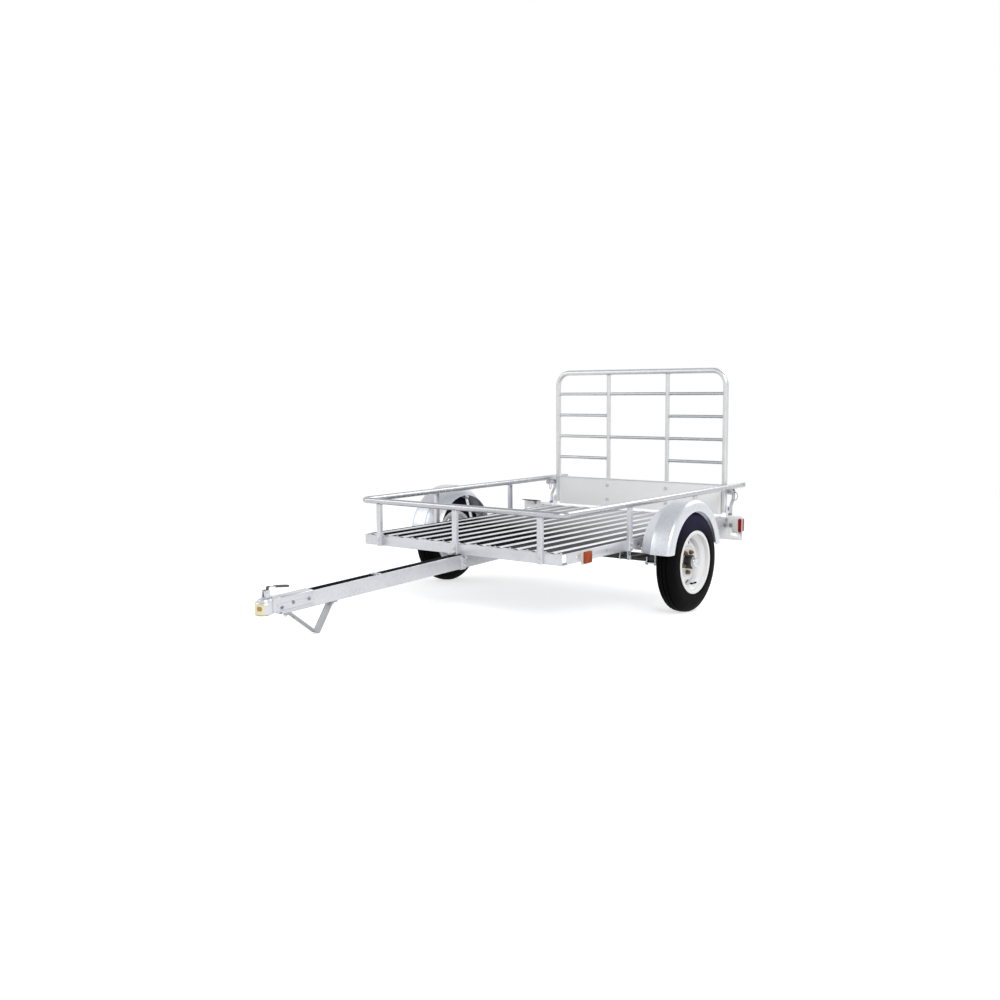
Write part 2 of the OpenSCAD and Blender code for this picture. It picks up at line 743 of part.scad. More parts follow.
// Drawn-back spring pins that lock the gate, on tabs under the side rails
module gate_latches() {
    tab_t = 3;
    low = rail_z - rail_r - 34;
    top = rail_z - rail_r - fine;
    tip = gate_w / 2 + 6;
    color([0.7, 0.68, 0.55]) both() {
        block([gate_x - 14, rail_y - tab_t / 2, low], [gate_x + 70, rail_y + tab_t / 2, top]);
        along_y(gate_x, low + 16, tip, rail_y + 24, 5);
        along_y(gate_x, low + 16, rail_y + 12, rail_y + 15, 9);
    }
}

parked() tongue();
parked() tongue_saddle();
parked() coupler_body();
parked() coupler_clamp();
parked() coupler_latch();
parked() tongue_stand();
parked() front_beam();
parked() rear_beam();
parked() side_beam();  // left_side_beam
parked() mirror([0, 1, 0]) side_beam();  // right_side_beam
parked() cross_members();
parked() floor_panels();
parked() front_rail();
parked() side_rail();  // left_rail
parked() mirror([0, 1, 0]) side_rail();  // right_rail
parked() front_posts();
parked() side_posts();  // left_posts
parked() mirror([0, 1, 0]) side_posts();  // right_posts
parked() rear_stays();
parked() rear_bracket();  // left_rear_bracket
parked() mirror([0, 1, 0]) rear_bracket();  // right_rear_bracket
parked() number_plate_bracket();
parked() tail_lamps();
parked() side_markers();
parked() fender();  // left_fender
parked() mirror([0, 1, 0]) fender();  // right_fender
parked() fender_brackets();
parked() fender_stays();
parked() axle();
parked() leaf_springs();
parked() spring_hangers();
parked() axle_clamps();
parked() hub();  // left_hub
parked() mirror([0, 1, 0]) hub();  // right_hub
parked() rim();  // left_rim
parked() mirror([0, 1, 0]) rim();  // right_rim
parked() tyre();  // left_tyre
parked() mirror([0, 1, 0]) tyre();  // right_tyre
parked() gate_hoop();
parked() gate_uprights();
parked() gate_rungs();
parked() gate_panel();
parked() gate_latches();
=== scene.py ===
"""Utility trailer: its finished look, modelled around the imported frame."""
import json
import math

import bpy
from bpy.props import FloatProperty, FloatVectorProperty, IntProperty, PointerProperty
from mathutils import Matrix, Vector


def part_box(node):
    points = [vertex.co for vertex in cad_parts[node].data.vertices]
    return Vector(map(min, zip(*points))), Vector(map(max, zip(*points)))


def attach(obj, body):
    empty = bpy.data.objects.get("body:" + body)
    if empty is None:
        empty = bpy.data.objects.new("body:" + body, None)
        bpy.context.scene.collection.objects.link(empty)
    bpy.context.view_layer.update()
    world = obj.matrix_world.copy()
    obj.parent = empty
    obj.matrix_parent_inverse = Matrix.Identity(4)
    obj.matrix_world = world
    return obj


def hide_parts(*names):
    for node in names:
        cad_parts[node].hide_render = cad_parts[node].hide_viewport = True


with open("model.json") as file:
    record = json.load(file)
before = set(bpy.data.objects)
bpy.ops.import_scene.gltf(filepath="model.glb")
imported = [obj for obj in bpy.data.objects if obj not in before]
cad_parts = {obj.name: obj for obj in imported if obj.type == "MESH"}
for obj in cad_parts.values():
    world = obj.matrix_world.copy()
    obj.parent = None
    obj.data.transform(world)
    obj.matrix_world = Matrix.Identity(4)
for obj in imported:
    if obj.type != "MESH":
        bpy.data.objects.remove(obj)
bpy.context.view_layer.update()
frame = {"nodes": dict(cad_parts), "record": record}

bl_info = {
    "name": "Utility Trailer",
    "version": (1, 0, 0),
    "blender": (4, 5, 0),
    "location": "View3D > Sidebar > Trailer",
    "description": "Models the finished look of a galvanised utility trailer around its packed frame",
    "category": "Add Mesh",
}


# Places. Pieces are drawn on a level trailer, in metres: x forward from the axle, y left, z up from
# the ground. PARKED turns that about the axle until the trailer stands nose down on its stand.

def parked_matrix():
    """Turn and shift from the level trailer to the parked one."""
    floor = next(m for m in frame["record"]["mounts"] if m["name"] == "bed_floor")
    pitch = math.atan2(floor["axis"][0], floor["axis"][2])
    low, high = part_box("left_rim")
    axle = (low + high) / 2
    return (Matrix.Translation((axle.x, 0, axle.z)) @ Matrix.Rotation(pitch, 4, "Y")
            @ Matrix.Translation((0, 0, -axle.z)))


PARKED = parked_matrix()
LEVEL = PARKED.inverted()


SIDES = (-1, 1)     # right and left, or rear and front
GAP = 0.0002        # between pieces that are bolted or welded face to face


def node_points(node, place=LEVEL):
    """Corners of a CAD node's mesh, on the level trailer or in another place."""
    return [place @ v.co for v in frame["nodes"][node].data.vertices]


def level_box(node, place=LEVEL):
    """Lowest and highest corner of a CAD node."""
    points = node_points(node, place)
    return (Vector(min(p[i] for p in points) for i in range(3)),
            Vector(max(p[i] for p in points) for i in range(3)))


# Modelling by hand: a few steps that every piece shares

def leave_edit():
    bpy.ops.object.mode_set(mode="OBJECT")


def deselect():
    if bpy.context.mode != "OBJECT":
        leave_edit()
    bpy.ops.object.select_all(action="DESELECT")


def only(obj):
    """Leave one object selected and active."""
    deselect()
    obj.select_set(True)
    bpy.context.view_layer.objects.active = obj


def rename(obj, name):
    obj.name = obj.data.name = name
    return obj


def newest(name):
    """Name the primitive that was just added and put its place into its mesh."""
    obj = rename(bpy.context.object, name)
    bpy.ops.object.transform_apply(location=True, rotation=True, scale=True)
    return obj


def edit_all():
    bpy.ops.object.mode_set(mode="EDIT")
    bpy.ops.mesh.select_mode(type="VERT")
    bpy.ops.mesh.select_all(action="SELECT")


def extrude(by):
    bpy.ops.mesh.extrude_region_move(TRANSFORM_OT_translate={"value": Vector(by)})


def close_up():
    """Weld the seams, turn every face outwards and leave edit mode."""
    bpy.ops.mesh.select_all(action="SELECT")
    bpy.ops.mesh.remove_doubles(threshold=0.00002)
    bpy.ops.mesh.normals_make_consistent(inside=False)
    leave_edit()


def pick(obj, test):
    """Select in edit mode the faces whose centre and normal pass the test."""
    bpy.ops.mesh.select_mode(type="FACE")
    bpy.ops.mesh.select_all(action="DESELECT")
    leave_edit()
    for face in obj.data.polygons:
        face.select = test(face.center, face.normal)
    bpy.ops.object.mode_set(mode="EDIT")


def apply_modifier(obj, kind, **settings):
    only(obj)
    modifier = obj.modifiers.new(kind, kind)
    for key, value in settings.items():
        setattr(modifier, key, value)
    bpy.ops.object.modifier_apply(modifier=modifier.name)


def smooth(obj, degrees=35):
    only(obj)
    bpy.ops.object.shade_smooth_by_angle(angle=math.radians(degrees))
    return obj


def round_edges(obj, width, segments=2, degrees=38):
    if width > 0:
        apply_modifier(obj, "BEVEL", width=width, segments=segments, limit_method="ANGLE",
                       angle_limit=math.radians(degrees), harden_normals=False)
    return smooth(obj)


def bisect(obj, place, normal, **options):
    """Cut the faces of a piece along a plane."""
    only(obj)
    edit_all()
    bpy.ops.mesh.bisect(plane_co=place, plane_no=normal, **options)
    leave_edit()


def cut_away(obj, *cutters):
    """Take the cutters' shapes out of a piece."""
    for cutter in cutters:
        apply_modifier(obj, "BOOLEAN", object=cutter, operation="DIFFERENCE", solver="EXACT")
        bpy.data.objects.remove(cutter)
    return obj


def join(name, parts):
    only(parts[0])
    for part in parts:
        part.select_set(True)
    if len(parts) > 1:
        bpy.ops.object.join()
    return rename(parts[0], name)


def both_sides(obj, weld=0.0):
    """Mirror a piece of the left side to the right side, in one mesh, welded within a distance."""
    apply_modifier(obj, "MIRROR", use_axis=(False, True, False), use_mirror_merge=weld > 0,
                   merge_threshold=weld)
    return obj


def copies(name, master, places):
    """Copies of a small part at each of some matrices, joined to one piece."""
    parts = []
    for place in places:
        part = master.copy()
        part.data = master.data.copy()
        part.data.transform(place)
        bpy.context.scene.collection.objects.link(part)
        parts.append(part)
    bpy.data.objects.remove(master)
    return join(name, parts)


def draw(name, points):
    """A line of vertices, extruded from point to point; left in edit mode, all selected."""
    deselect()
    points = [Vector(p) for p in points]
    bpy.ops.mesh.primitive_plane_add(size=0.001, location=points[0])
    obj = newest(name)
    edit_all()
    bpy.ops.mesh.merge(type="CENTER")
    for here, there in zip(points, points[1:]):
        extrude(there - here)
    bpy.ops.mesh.select_all(action="SELECT")
    return obj


def sweep(name, corners, travel, rounding=0.0008):
    """A closed outline, filled and extruded along a straight line."""
    obj = draw(name, corners)
    bpy.ops.mesh.edge_face_add()
    extrude(travel)
    close_up()
    return round_edges(obj, rounding)


def turn(name, points, centre, axis=(0, 1, 0), steps=64, closed=False, degrees=360.0, angle=35):
    """A profile turned about an axis, as on a lathe."""
    points = list(points) + ([points[0]] if closed else [])
    obj = draw(name, points)
    bpy.ops.mesh.spin(steps=steps, angle=math.radians(degrees), center=Vector(centre), axis=-Vector(axis))
    close_up()
    return smooth(obj, angle)


def spun(name, profile, steps):
    """A small part turned about z, from (radius, height) pairs."""
    return turn(name, [(r, 0, z) for r, z in profile], (0, 0, 0), axis=(0, 0, 1), steps=steps)


def hexagon(name, radius, depth, middle, inset, lift):
    """A nut's or bolt head's hexagon about a height, its top face set in and lifted."""
    deselect()
    bpy.ops.mesh.primitive_cylinder_add(vertices=6, radius=radius, depth=depth, location=(0, 0, middle))
    obj = newest(name)
    edit_all()
    pick(obj, lambda c, n: n.z > 0.9)
    bpy.ops.mesh.inset(thickness=inset)
    bpy.ops.transform.translate(value=(0, 0, lift))
    leave_edit()
    return obj


def block(name, low, high, rounding=0.001):
    """A block between two corners with eased edges."""
    deselect()
    low, high = Vector(low), Vector(high)
    bpy.ops.mesh.primitive_cube_add(size=1, location=(low + high) / 2, scale=high - low)
    return round_edges(newest(name), rounding)


def along(axis):
    """Rotation that turns +Z to an axis."""
    return Vector((0, 0, 1)).rotation_difference(Vector(axis)).to_matrix().to_4x4()


def rod(name, start, end, radius, rounding=0.0008, sides=32):
    """A round bar between two points with eased ends."""
    deselect()
    start, end = Vector(start), Vector(end)
    bpy.ops.mesh.primitive_cylinder_add(vertices=sides, radius=radius, depth=(end - start).length,
                                        location=(start + end) / 2,
                                        rotation=along(end - start).to_euler())
    return round_edges(newest(name), rounding)


def pipe(name, start, heading, radius, moves, sides=32):
    """A tube run from a filled circle: straight moves are vectors, bends are (centre, axis, degrees)."""
    deselect()
    bpy.ops.mesh.primitive_circle_add(vertices=sides, radius=radius, fill_type="NGON", location=start,
                                      rotation=along(heading).to_euler())
    obj = newest(name)
    edit_all()
    bpy.ops.mesh.select_mode(type="FACE")
    for move in moves:
        if len(move) == 3 and isinstance(move[0], (tuple, Vector)):
            centre, axis, degrees = move
            bpy.ops.mesh.spin(steps=max(6, round(abs(degrees) / 6)), angle=math.radians(degrees),
                              center=Vector(centre), axis=-Vector(axis))
        else:
            extrude(move)
    close_up()
    return smooth(obj, 50)


def arc(centre, radius, start, end, steps):
    """Points of an arc in a plane, angles in degrees."""
    angles = [math.radians(start + (end - start) * i / steps) for i in range(steps + 1)]
    return [(centre[0] + radius * math.cos(a), centre[1] + radius * math.sin(a)) for a in angles]


def eased(points, radius, steps=3):
    """A closed outline in a plane with its corners rounded."""
    result = []
    count = len(points)
    for i, corner in enumerate(points):
        corner = Vector(corner)
        back = Vector(points[i - 1]) - corner
        ahead = Vector(points[(i + 1) % count]) - corner
        half = back.angle(ahead) / 2
        reach = min(radius / math.tan(half), back.length * 0.45, ahead.length * 0.45)
        bend = reach * math.tan(half)
        middle = corner + (back.normalized() + ahead.normalized()).normalized() * (bend / math.sin(half))
        first = corner + back.normalized() * reach - middle
        last = corner + ahead.normalized() * reach - middle
        for k in range(steps + 1):
            result.append(tuple(middle + first.lerp(last, k / steps).normalized() * bend))
    return result


def rounded(low, high, radius, steps=4):
    """A rectangle in a plane, between two corners, with its corners rounded."""
    return eased([low, (high[0], low[1]), high, (low[0], high[1])], radius, steps)


def folded(path, thickness, radius, steps=4):
    """Outline of sheet metal folded along a path in a plane, with rounded folds."""
    def side(offset):
        line = []
        for i, point in enumerate(path):
            point = Vector(point)
            back = (point - Vector(path[i - 1])).normalized() if i else None
            ahead = (Vector(path[i + 1]) - point).normalized() if i < len(path) - 1 else None
            if back is None or ahead is None:
                way = back or ahead
                line.append(tuple(point + Vector((-way.y, way.x)) * offset))
                continue
            turn_by = math.atan2(back.x * ahead.y - back.y * ahead.x, back.dot(ahead))
            sign = 1 if turn_by > 0 else -1
            bend = radius + thickness / 2 - sign * offset
            reach = (radius + thickness / 2) * math.tan(abs(turn_by) / 2)
            centre = point - back * reach + Vector((-back.y, back.x)) * sign * (radius + thickness / 2)
            arm = Vector((back.y, -back.x)) * sign * bend
            for k in range(steps + 1):
                a = turn_by * k / steps
                line.append((centre.x + arm.x * math.cos(a) - arm.y * math.sin(a),
                             centre.y + arm.x * math.sin(a) + arm.y * math.cos(a)))
        return line
    return side(thickness / 2) + side(-thickness / 2)[::-1]


def sweep_across(name, outline, y, wide, rounding):
    """An outline of (x, z) pairs, swept along y."""
    return sweep(name, [(a, y, b) for a, b in outline], (0, wide, 0), rounding)


def sweep_ahead(name, outline, x, long, rounding):
    """An outline of (y, z) pairs, swept along x."""
    return sweep(name, [(x, a, b) for a, b in outline], (long, 0, 0), rounding)


def settle(obj, body, finish, stands_for=(), patches=()):
    """Put a finished piece on the parked trailer, with its finish and the body it moves with.

    patches are (finish, test) pairs for faces that look different; a test takes a face's centre
    and normal on the level trailer."""
    obj.data.materials.clear()
    obj.data.materials.append(finishes[finish])
    for number, (other, test) in enumerate(patches, 1):
        obj.data.materials.append(finishes[other])
        for face in obj.data.polygons:
            if test(face.center, face.normal):
                face.material_index = number
    obj.data.transform(PARKED)
    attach(obj, body)
    if stands_for:
        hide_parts(*stands_for)
    return obj


def to_the_right(obj, name):
    """A copy of a left-hand piece, mirrored to the right-hand side."""
    twin = obj.copy()
    twin.data = obj.data.copy()
    rename(twin, name)
    bpy.context.scene.collection.objects.link(twin)
    twin.data.transform(Matrix.Scale(-1, 4, (0, 1, 0)))
    only(twin)
    edit_all()
    close_up()
    return twin


# Finishes

slot_of = {}
finishes = {}


class Nodes:
    """A material or world whose nodes are wired up in short steps."""

    def __init__(self, owner):
        owner.use_nodes = True
        self.tree = owner.node_tree

    def node(self, kind, inputs, **settings):
        node = self.tree.nodes.new("ShaderNode" + kind)
        for key, value in settings.items():
            setattr(node, key, value)
        for key, value in inputs.items():
            if isinstance(value, bpy.types.NodeSocket):
                self.tree.links.new(value, node.inputs[key])
            else:
                node.inputs[key].default_value = value
        return node

    def ramp(self, value, *stops):
        """Colours laid out along a value: (place, colour) pairs."""
        node = self.node("ValToRGB", {"Fac": value})
        elements = node.color_ramp.elements
        while len(elements) < len(stops):
            elements.new(0.5)
        for element, (at, colour) in zip(elements, stops):
            element.position = at
            element.color = (*colour, 1)
        return node.outputs["Color"]

    def seen(self):
        """1 for what camera, mirrors and glass see, 0 for what lights the scene."""
        ray = self.node("LightPath", {}).outputs
        once = self.node("Math", {0: ray["Is Camera Ray"], 1: ray["Is Glossy Ray"]}, operation="MAXIMUM")
        return self.node("Math", {0: once.outputs[0], 1: ray["Is Transmission Ray"]},
                         operation="MAXIMUM").outputs[0]


class Finish(Nodes):
    """A material of the trailer."""

    def __init__(self, name, **sockets):
        self.material = bpy.data.materials.new(name)
        super().__init__(self.material)
        self.shader = self.tree.nodes["Principled BSDF"]
        self.place = self.node("TexCoord", {}).outputs["Object"]
        for key, value in sockets.items():
            self.shader.inputs[key.replace("_", " ")].default_value = value

    def noise(self, scale, detail=3.0, stretch=(1, 1, 1), rough=0.5):
        """Clouds, from 0 to 1, that may be drawn out along an axis."""
        mapped = self.node("Mapping", {"Vector": self.place, "Scale": stretch}).outputs[0]
        return self.node("TexNoise", {"Vector": mapped, "Scale": scale, "Detail": detail,
                                      "Roughness": rough}).outputs["Fac"]

    def cells(self, scale):
        """One random value for each crystal of the zinc."""
        colour = self.node("TexVoronoi", {"Vector": self.place, "Scale": scale}).outputs["Color"]
        return self.node("SeparateColor", {"Color": colour}).outputs["Red"]

    def mix(self, a, b, share=0.5):
        """A value between two values."""
        return self.node("Mix", {"Factor": share, 2: a, 3: b}, data_type="FLOAT").outputs[0]

    def between(self, value, low, high, start=0.0, end=1.0):
        """A value carried from one range to another."""
        return self.node("MapRange", {"Value": value, "From Min": start, "From Max": end,
                                      "To Min": low, "To Max": high}).outputs["Result"]

    def bump(self, height, distance, strength=1.0):
        self.set("Normal", self.node("Bump", {"Height": height, "Distance": distance,
                                              "Strength": strength}).outputs["Normal"])

    def set(self, socket, value):
        self.tree.links.new(value, self.shader.inputs[socket])


def shade(colour, factor):
    return tuple(min(1.0, c * factor) for c in colour[:3])


def zinc_finish(name, colour, crystal, roughness, contrast, metallic=0.55, streaks=(1, 1, 1)):
    """Galvanised steel: crystals of slightly different grey, with drawn-out clouds over them."""
    f = Finish(name, Metallic=metallic)
    crystal_tone = f.cells(1 / crystal)
    tone = f.mix(crystal_tone, f.noise(7, 4, streaks), 0.7)
    f.set("Base Color", f.ramp(tone, (0.1, shade(colour, 1 - contrast)), (0.5, colour[:3]),
                               (0.9, shade(colour, 1 + contrast * 0.6))))
    satin = f.mix(crystal_tone, f.noise(40, 2), 0.6)
    f.set("Roughness", f.between(satin, roughness - 0.05, roughness + 0.08))
    f.bump(f.noise(160, 2), 0.00008, 0.4)
    return f.material


def paint_finish(name, colour, roughness, mottle=0.15, coat=0.0, grain=260, depth=0.0001):
    """Brushed or sprayed paint with a light orange peel."""
    f = Finish(name, Coat_Weight=coat, Coat_Roughness=0.08)
    clouds = f.noise(9, 4)
    f.set("Base Color", f.ramp(clouds, (0.25, shade(colour, 1 - mottle)), (0.75, shade(colour, 1 + mottle))))
    f.set("Roughness", f.between(f.noise(30, 3), roughness - 0.06, roughness + 0.08))
    f.bump(f.noise(grain, 2), depth, 0.5)
    return f.material


def rubber_finish(name, colour, painted_sheen):
    """New rubber: satin, with a fine grain and a faint blue painted sheen over its upper half."""
    f = Finish(name, Specular_IOR_Level=0.03)
    height = f.node("SeparateXYZ", {"Vector": f.place}).outputs["Z"]
    # Painted sheen: a faint blue over the upper half, by height, mixed with clouds.
    share = f.mix(f.between(height, 0.0, 1.0, 0.33, 0.52), f.noise(9, 4), 0.35)
    f.set("Base Color", f.ramp(share, (0.25, colour[:3]), (0.8, painted_sheen[:3])))
    f.set("Roughness", f.between(f.noise(22, 4), 0.46, 0.62))
    f.bump(f.mix(f.noise(420, 3), f.noise(60, 2), 0.3), 0.0003, 0.5)
    return f.material


def painted_reflection_finish(name, dark, pale, start, end):
    """Shiny sheet with a painted reflection: dark at its front end, paling towards the rear."""
    f = Finish(name, Specular_IOR_Level=0.0, Roughness=0.3)
    place = f.node("SeparateXYZ", {"Vector": f.place}).outputs
    across = f.between(place["Y"], 0.0, 1.0, -0.7, 0.5)
    share = f.mix(f.between(place["X"], 1.0, 0.0, end, start), across, 0.35)
    share = f.mix(share, f.noise(3.5, 4, (0.35, 1, 1)), 0.2)
    # Painted reflection: the colour runs from dark to pale by place on the sheet, with clouds.
    f.set("Base Color", f.ramp(share, (0.3, dark[:3]), (0.85, pale[:3])))
    f.bump(f.noise(30, 2), 0.0003, 0.2)
    return f.material


def lens_finish(name, colour, glow):
    """Moulded lens with a prismatic back that shows through, and a faint painted glow."""
    f = Finish(name, Roughness=0.25, Specular_IOR_Level=0.12, Coat_Weight=0.12, Coat_Roughness=0.08)
    prisms = f.node("TexWave", {"Vector": f.place, "Scale": 60.0, "Distortion": 0.0},
                    bands_direction="Z").outputs["Fac"]
    f.set("Base Color", f.ramp(prisms, (0.1, shade(colour, 0.6)), (0.9, shade(colour, 1.25))))
    f.bump(prisms, 0.0004, 0.35)
    # Painted glow: a faint emission in the lens colour.
    f.shader.inputs["Emission Color"].default_value = (*colour[:3], 1)
    f.shader.inputs["Emission Strength"].default_value = glow
    return f.material


def make_finishes(colours):
    """All finishes of the trailer with their slots, from the colours in the panel."""
    steel, zinc, yellow, black = colours.steel, colours.zinc, colours.yellow, colours.black
    galvanised = [
        ("steel", "steel", "galvanised steel", steel, 0.007, 0.34, 0.16),
        ("tube", "steel", "galvanised tube", colours.tube, 0.006, 0.3, 0.14),
        # The rail tube is a darker copy of the gate tube: painted shade on the horizontal tubes.
        ("rail", "steel", "rail tube", colours.rail, 0.006, 0.28, 0.14, 0.8),
        # The stand's flat bar is a darker copy of the galvanised steel: painted shade.
        ("stand", "steel", "shaded flat bar", shade(steel, 0.66), 0.007, 0.5, 0.14, 0.2),
        # The corner plates are a much paler copy of the galvanised steel: painted light on their faces.
        ("bright", "steel", "bright corner plate", (0.92, 0.92, 0.93), 0.011, 0.45, 0.06, 0.3),
        ("shade", "steel", "shaded flange", shade(steel, 0.45), 0.007, 0.4, 0.16),
        ("sheet", "sheet", "galvanised sheet", colours.sheet, 0.011, 0.3, 0.14),
        ("ribs", "sheet", "floor ribs", colours.ribs, 0.012, 0.36, 0.1)]
    plated = [
        ("zinc", "bright", "bright zinc", zinc, 0.003, 0.3, 0.12),
        ("dull", "bright", "dull plated bolts", shade(zinc, 0.45), 0.003, 0.45, 0.12),
        ("lever", "bright", "dark plated lever", shade(zinc, 0.14), 0.004, 0.5, 0.15),
        ("chrome", "bright", "polished cap", (0.62, 0.63, 0.64), 0.02, 0.2, 0.1, 0.9),
        ("yellow", "yellow", "yellow zinc", yellow, 0.004, 0.3, 0.25),
        ("nuts", "yellow", "wheel nuts", shade(yellow, 0.42), 0.004, 0.28, 0.3),
        ("straw", "yellow", "pale yellow zinc", (0.74, 0.68, 0.46), 0.004, 0.3, 0.15)]
    painted = [
        # The gate sheet is painted near white, paler than the galvanised sheet: painted light on its face.
        ("panel", "galvanised_sheet", "gate sheet", (0.95, 0.95, 0.95), 0.35, 0.015),
        ("pale", "galvanised_sheet", "pale plastic", (0.7, 0.7, 0.68), 0.4, 0.04),
        ("black", "black_steel", "black paint", black, 0.42, 0.3),
        ("hub", "black_hub", "hub paint", shade(black, 0.4), 0.45, 0.3),
        ("white", "white_rim", "white rim paint", colours.rim, 0.2, 0.025, 0.5, 90, 0.00005)]
    flats = colours.flats
    # Painted reflections: the near black of the floor flats and of the tongue's top is a painted dark
    # reflection, paling by place.
    painted_reflections = [
        ("flats", "sheet", "floor between the ribs", flats, (0.55, 0.56, 0.57), -0.1, -1.2),
        ("dark", "steel", "dark top of the tongue", flats, (0.04, 0.04, 0.045), 1.6, -1.3)]
    for key, slot, *look in galvanised:
        finishes[key], slot_of[key] = zinc_finish(*look), "galvanised_" + slot
    for key, slot, *look in plated:
        finishes[key], slot_of[key] = zinc_finish(*look), slot + "_zinc"
    for key, slot, *look in painted:
        finishes[key], slot_of[key] = paint_finish(*look), slot
    for key, slot, *look in painted_reflections:
        finishes[key], slot_of[key] = painted_reflection_finish(*look), "galvanised_" + slot
    # Each lens gets a faint painted glow of strength 0.02.
    for key in ("red", "amber"):
        finishes[key], slot_of[key] = lens_finish(key + " lens", getattr(colours, key), 0.02), key + "_lens"
    finishes["rubber"] = rubber_finish("tyre rubber", colours.rubber, colours.painted_sheen)
    slot_of["rubber"] = "tyre_rubber"


# Sizes and colours that a user would change

def colour_property(name, description, value):
    return FloatVectorProperty(name=name, description=description, subtype="COLOR", size=3,
                               min=0, max=1, default=value)


def length_property(name, description, value):
    return FloatProperty(name=name, description=description, subtype="DISTANCE", unit="LENGTH",
                         min=0, default=value)


class TrailerColours(bpy.types.PropertyGroup):
    """Colours of the trailer's finishes."""
    steel: colour_property("Steel", "Hot-dip galvanised beams, posts and tongue", (0.66, 0.67, 0.7))
    tube: colour_property("Tube", "Galvanised tube of the gate", (0.7, 0.71, 0.71))
    # Darker than the gate tube: painted shade on the horizontal tubes.
    rail: colour_property("Rail", "Galvanised tube of the rails and rungs", (0.5, 0.51, 0.53))
    sheet: colour_property("Sheet", "Galvanised sheet of the fenders and the gate", (0.72, 0.75, 0.79))
    # The near black of the floor flats, also used on the tongue's top, is a painted dark reflection.
    flats: colour_property("Floor flats", "Painted dark reflection on the floor sheet between its ribs", (0.012, 0.013, 0.015))
    ribs: colour_property("Floor ribs", "Raised ribs of the floor sheet", (0.82, 0.84, 0.86))
    zinc: colour_property("Bright zinc", "Plated bolts and coupler", (0.66, 0.67, 0.7))
    yellow: colour_property("Yellow zinc", "Passivated coupler nose and wheel nuts", (0.38, 0.25, 0.08))
    black: colour_property("Black paint", "Axle, springs and hubs", (0.014, 0.014, 0.016))
    rim: colour_property("Rim", "Gloss paint of the rims", (0.88, 0.88, 0.88))
    rubber: colour_property("Rubber", "Tyres", (0.003, 0.003, 0.003))
    # The bluish tint on the upper half of the tyres is a painted sheen.
    painted_sheen: colour_property("Painted sheen", "Bluish bloom on the upper half of the tyres", (0.021, 0.02, 0.05))
    red: colour_property("Red lens", "Tail lamps", (0.3, 0.003, 0.006))
    amber: colour_property("Amber lens", "Side markers", (0.4, 0.065, 0.01))


class TrailerSizes(bpy.types.PropertyGroup):
    """Sizes of the details."""
    edge: length_property("Edge", "Rounding of plain edges", 0.0008)
    fold: length_property("Fold", "Inner radius of folded sheet", 0.0025)
    bolt: length_property("Bolt", "Width across the corners of a frame bolt's head", 0.019)
    groove: length_property("Groove", "Depth of the tread's grooves", 0.0065)
    zigzag: length_property("Zigzag", "How far the tread's grooves wander", 0.0022)
    zigzags: IntProperty(name="Zigzags", description="Zigzags in a turn of the tread", min=8, default=48)


class Maker:
    """What the operators share: each models one piece or group of like pieces."""
    bl_options = {"REGISTER", "UNDO"}

    def execute(self, context):
        self.model(context.scene.trailer_sizes)
        return {"FINISHED"}


class Wheel:
    """Places on the left wheel: its centre, and points of profiles round it."""

    def __init__(self):
        low, high = level_box("left_rim")
        self.centre = (low + high) / 2
        self.half = (high.y - low.y) / 2
        self.flange = (high.z - low.z) / 2

    def profile(self, points):
        """Points from (y, radius) pairs, in millimetres from the wheel's centre."""
        x, y, z = self.centre
        return [(x, y + a / 1000, z + r / 1000) for a, r in points]

    def at(self, out, radius, degrees):
        """A point at a radius and angle, in millimetres and degrees up from the front."""
        a = math.radians(degrees)
        return self.centre + Vector((radius * math.cos(a), out, radius * math.sin(a))) / 1000

    def pair(self, obj, name, finish, node=None, patches=()):
        """Settle a piece of the left wheel and its twin on the right."""
        twin = to_the_right(obj, "right_" + name)
        rename(obj, "left_" + name)
        mirrored = [(other, lambda c, n, test=test: test(Vector((c.x, -c.y, c.z)), Vector((n.x, -n.y, n.z))))
                    for other, test in patches]
        settle(obj, "left_wheel", finish, ["left_" + node] if node else (), patches)
        settle(twin, "right_wheel", finish, ["right_" + node] if node else (), mirrored)


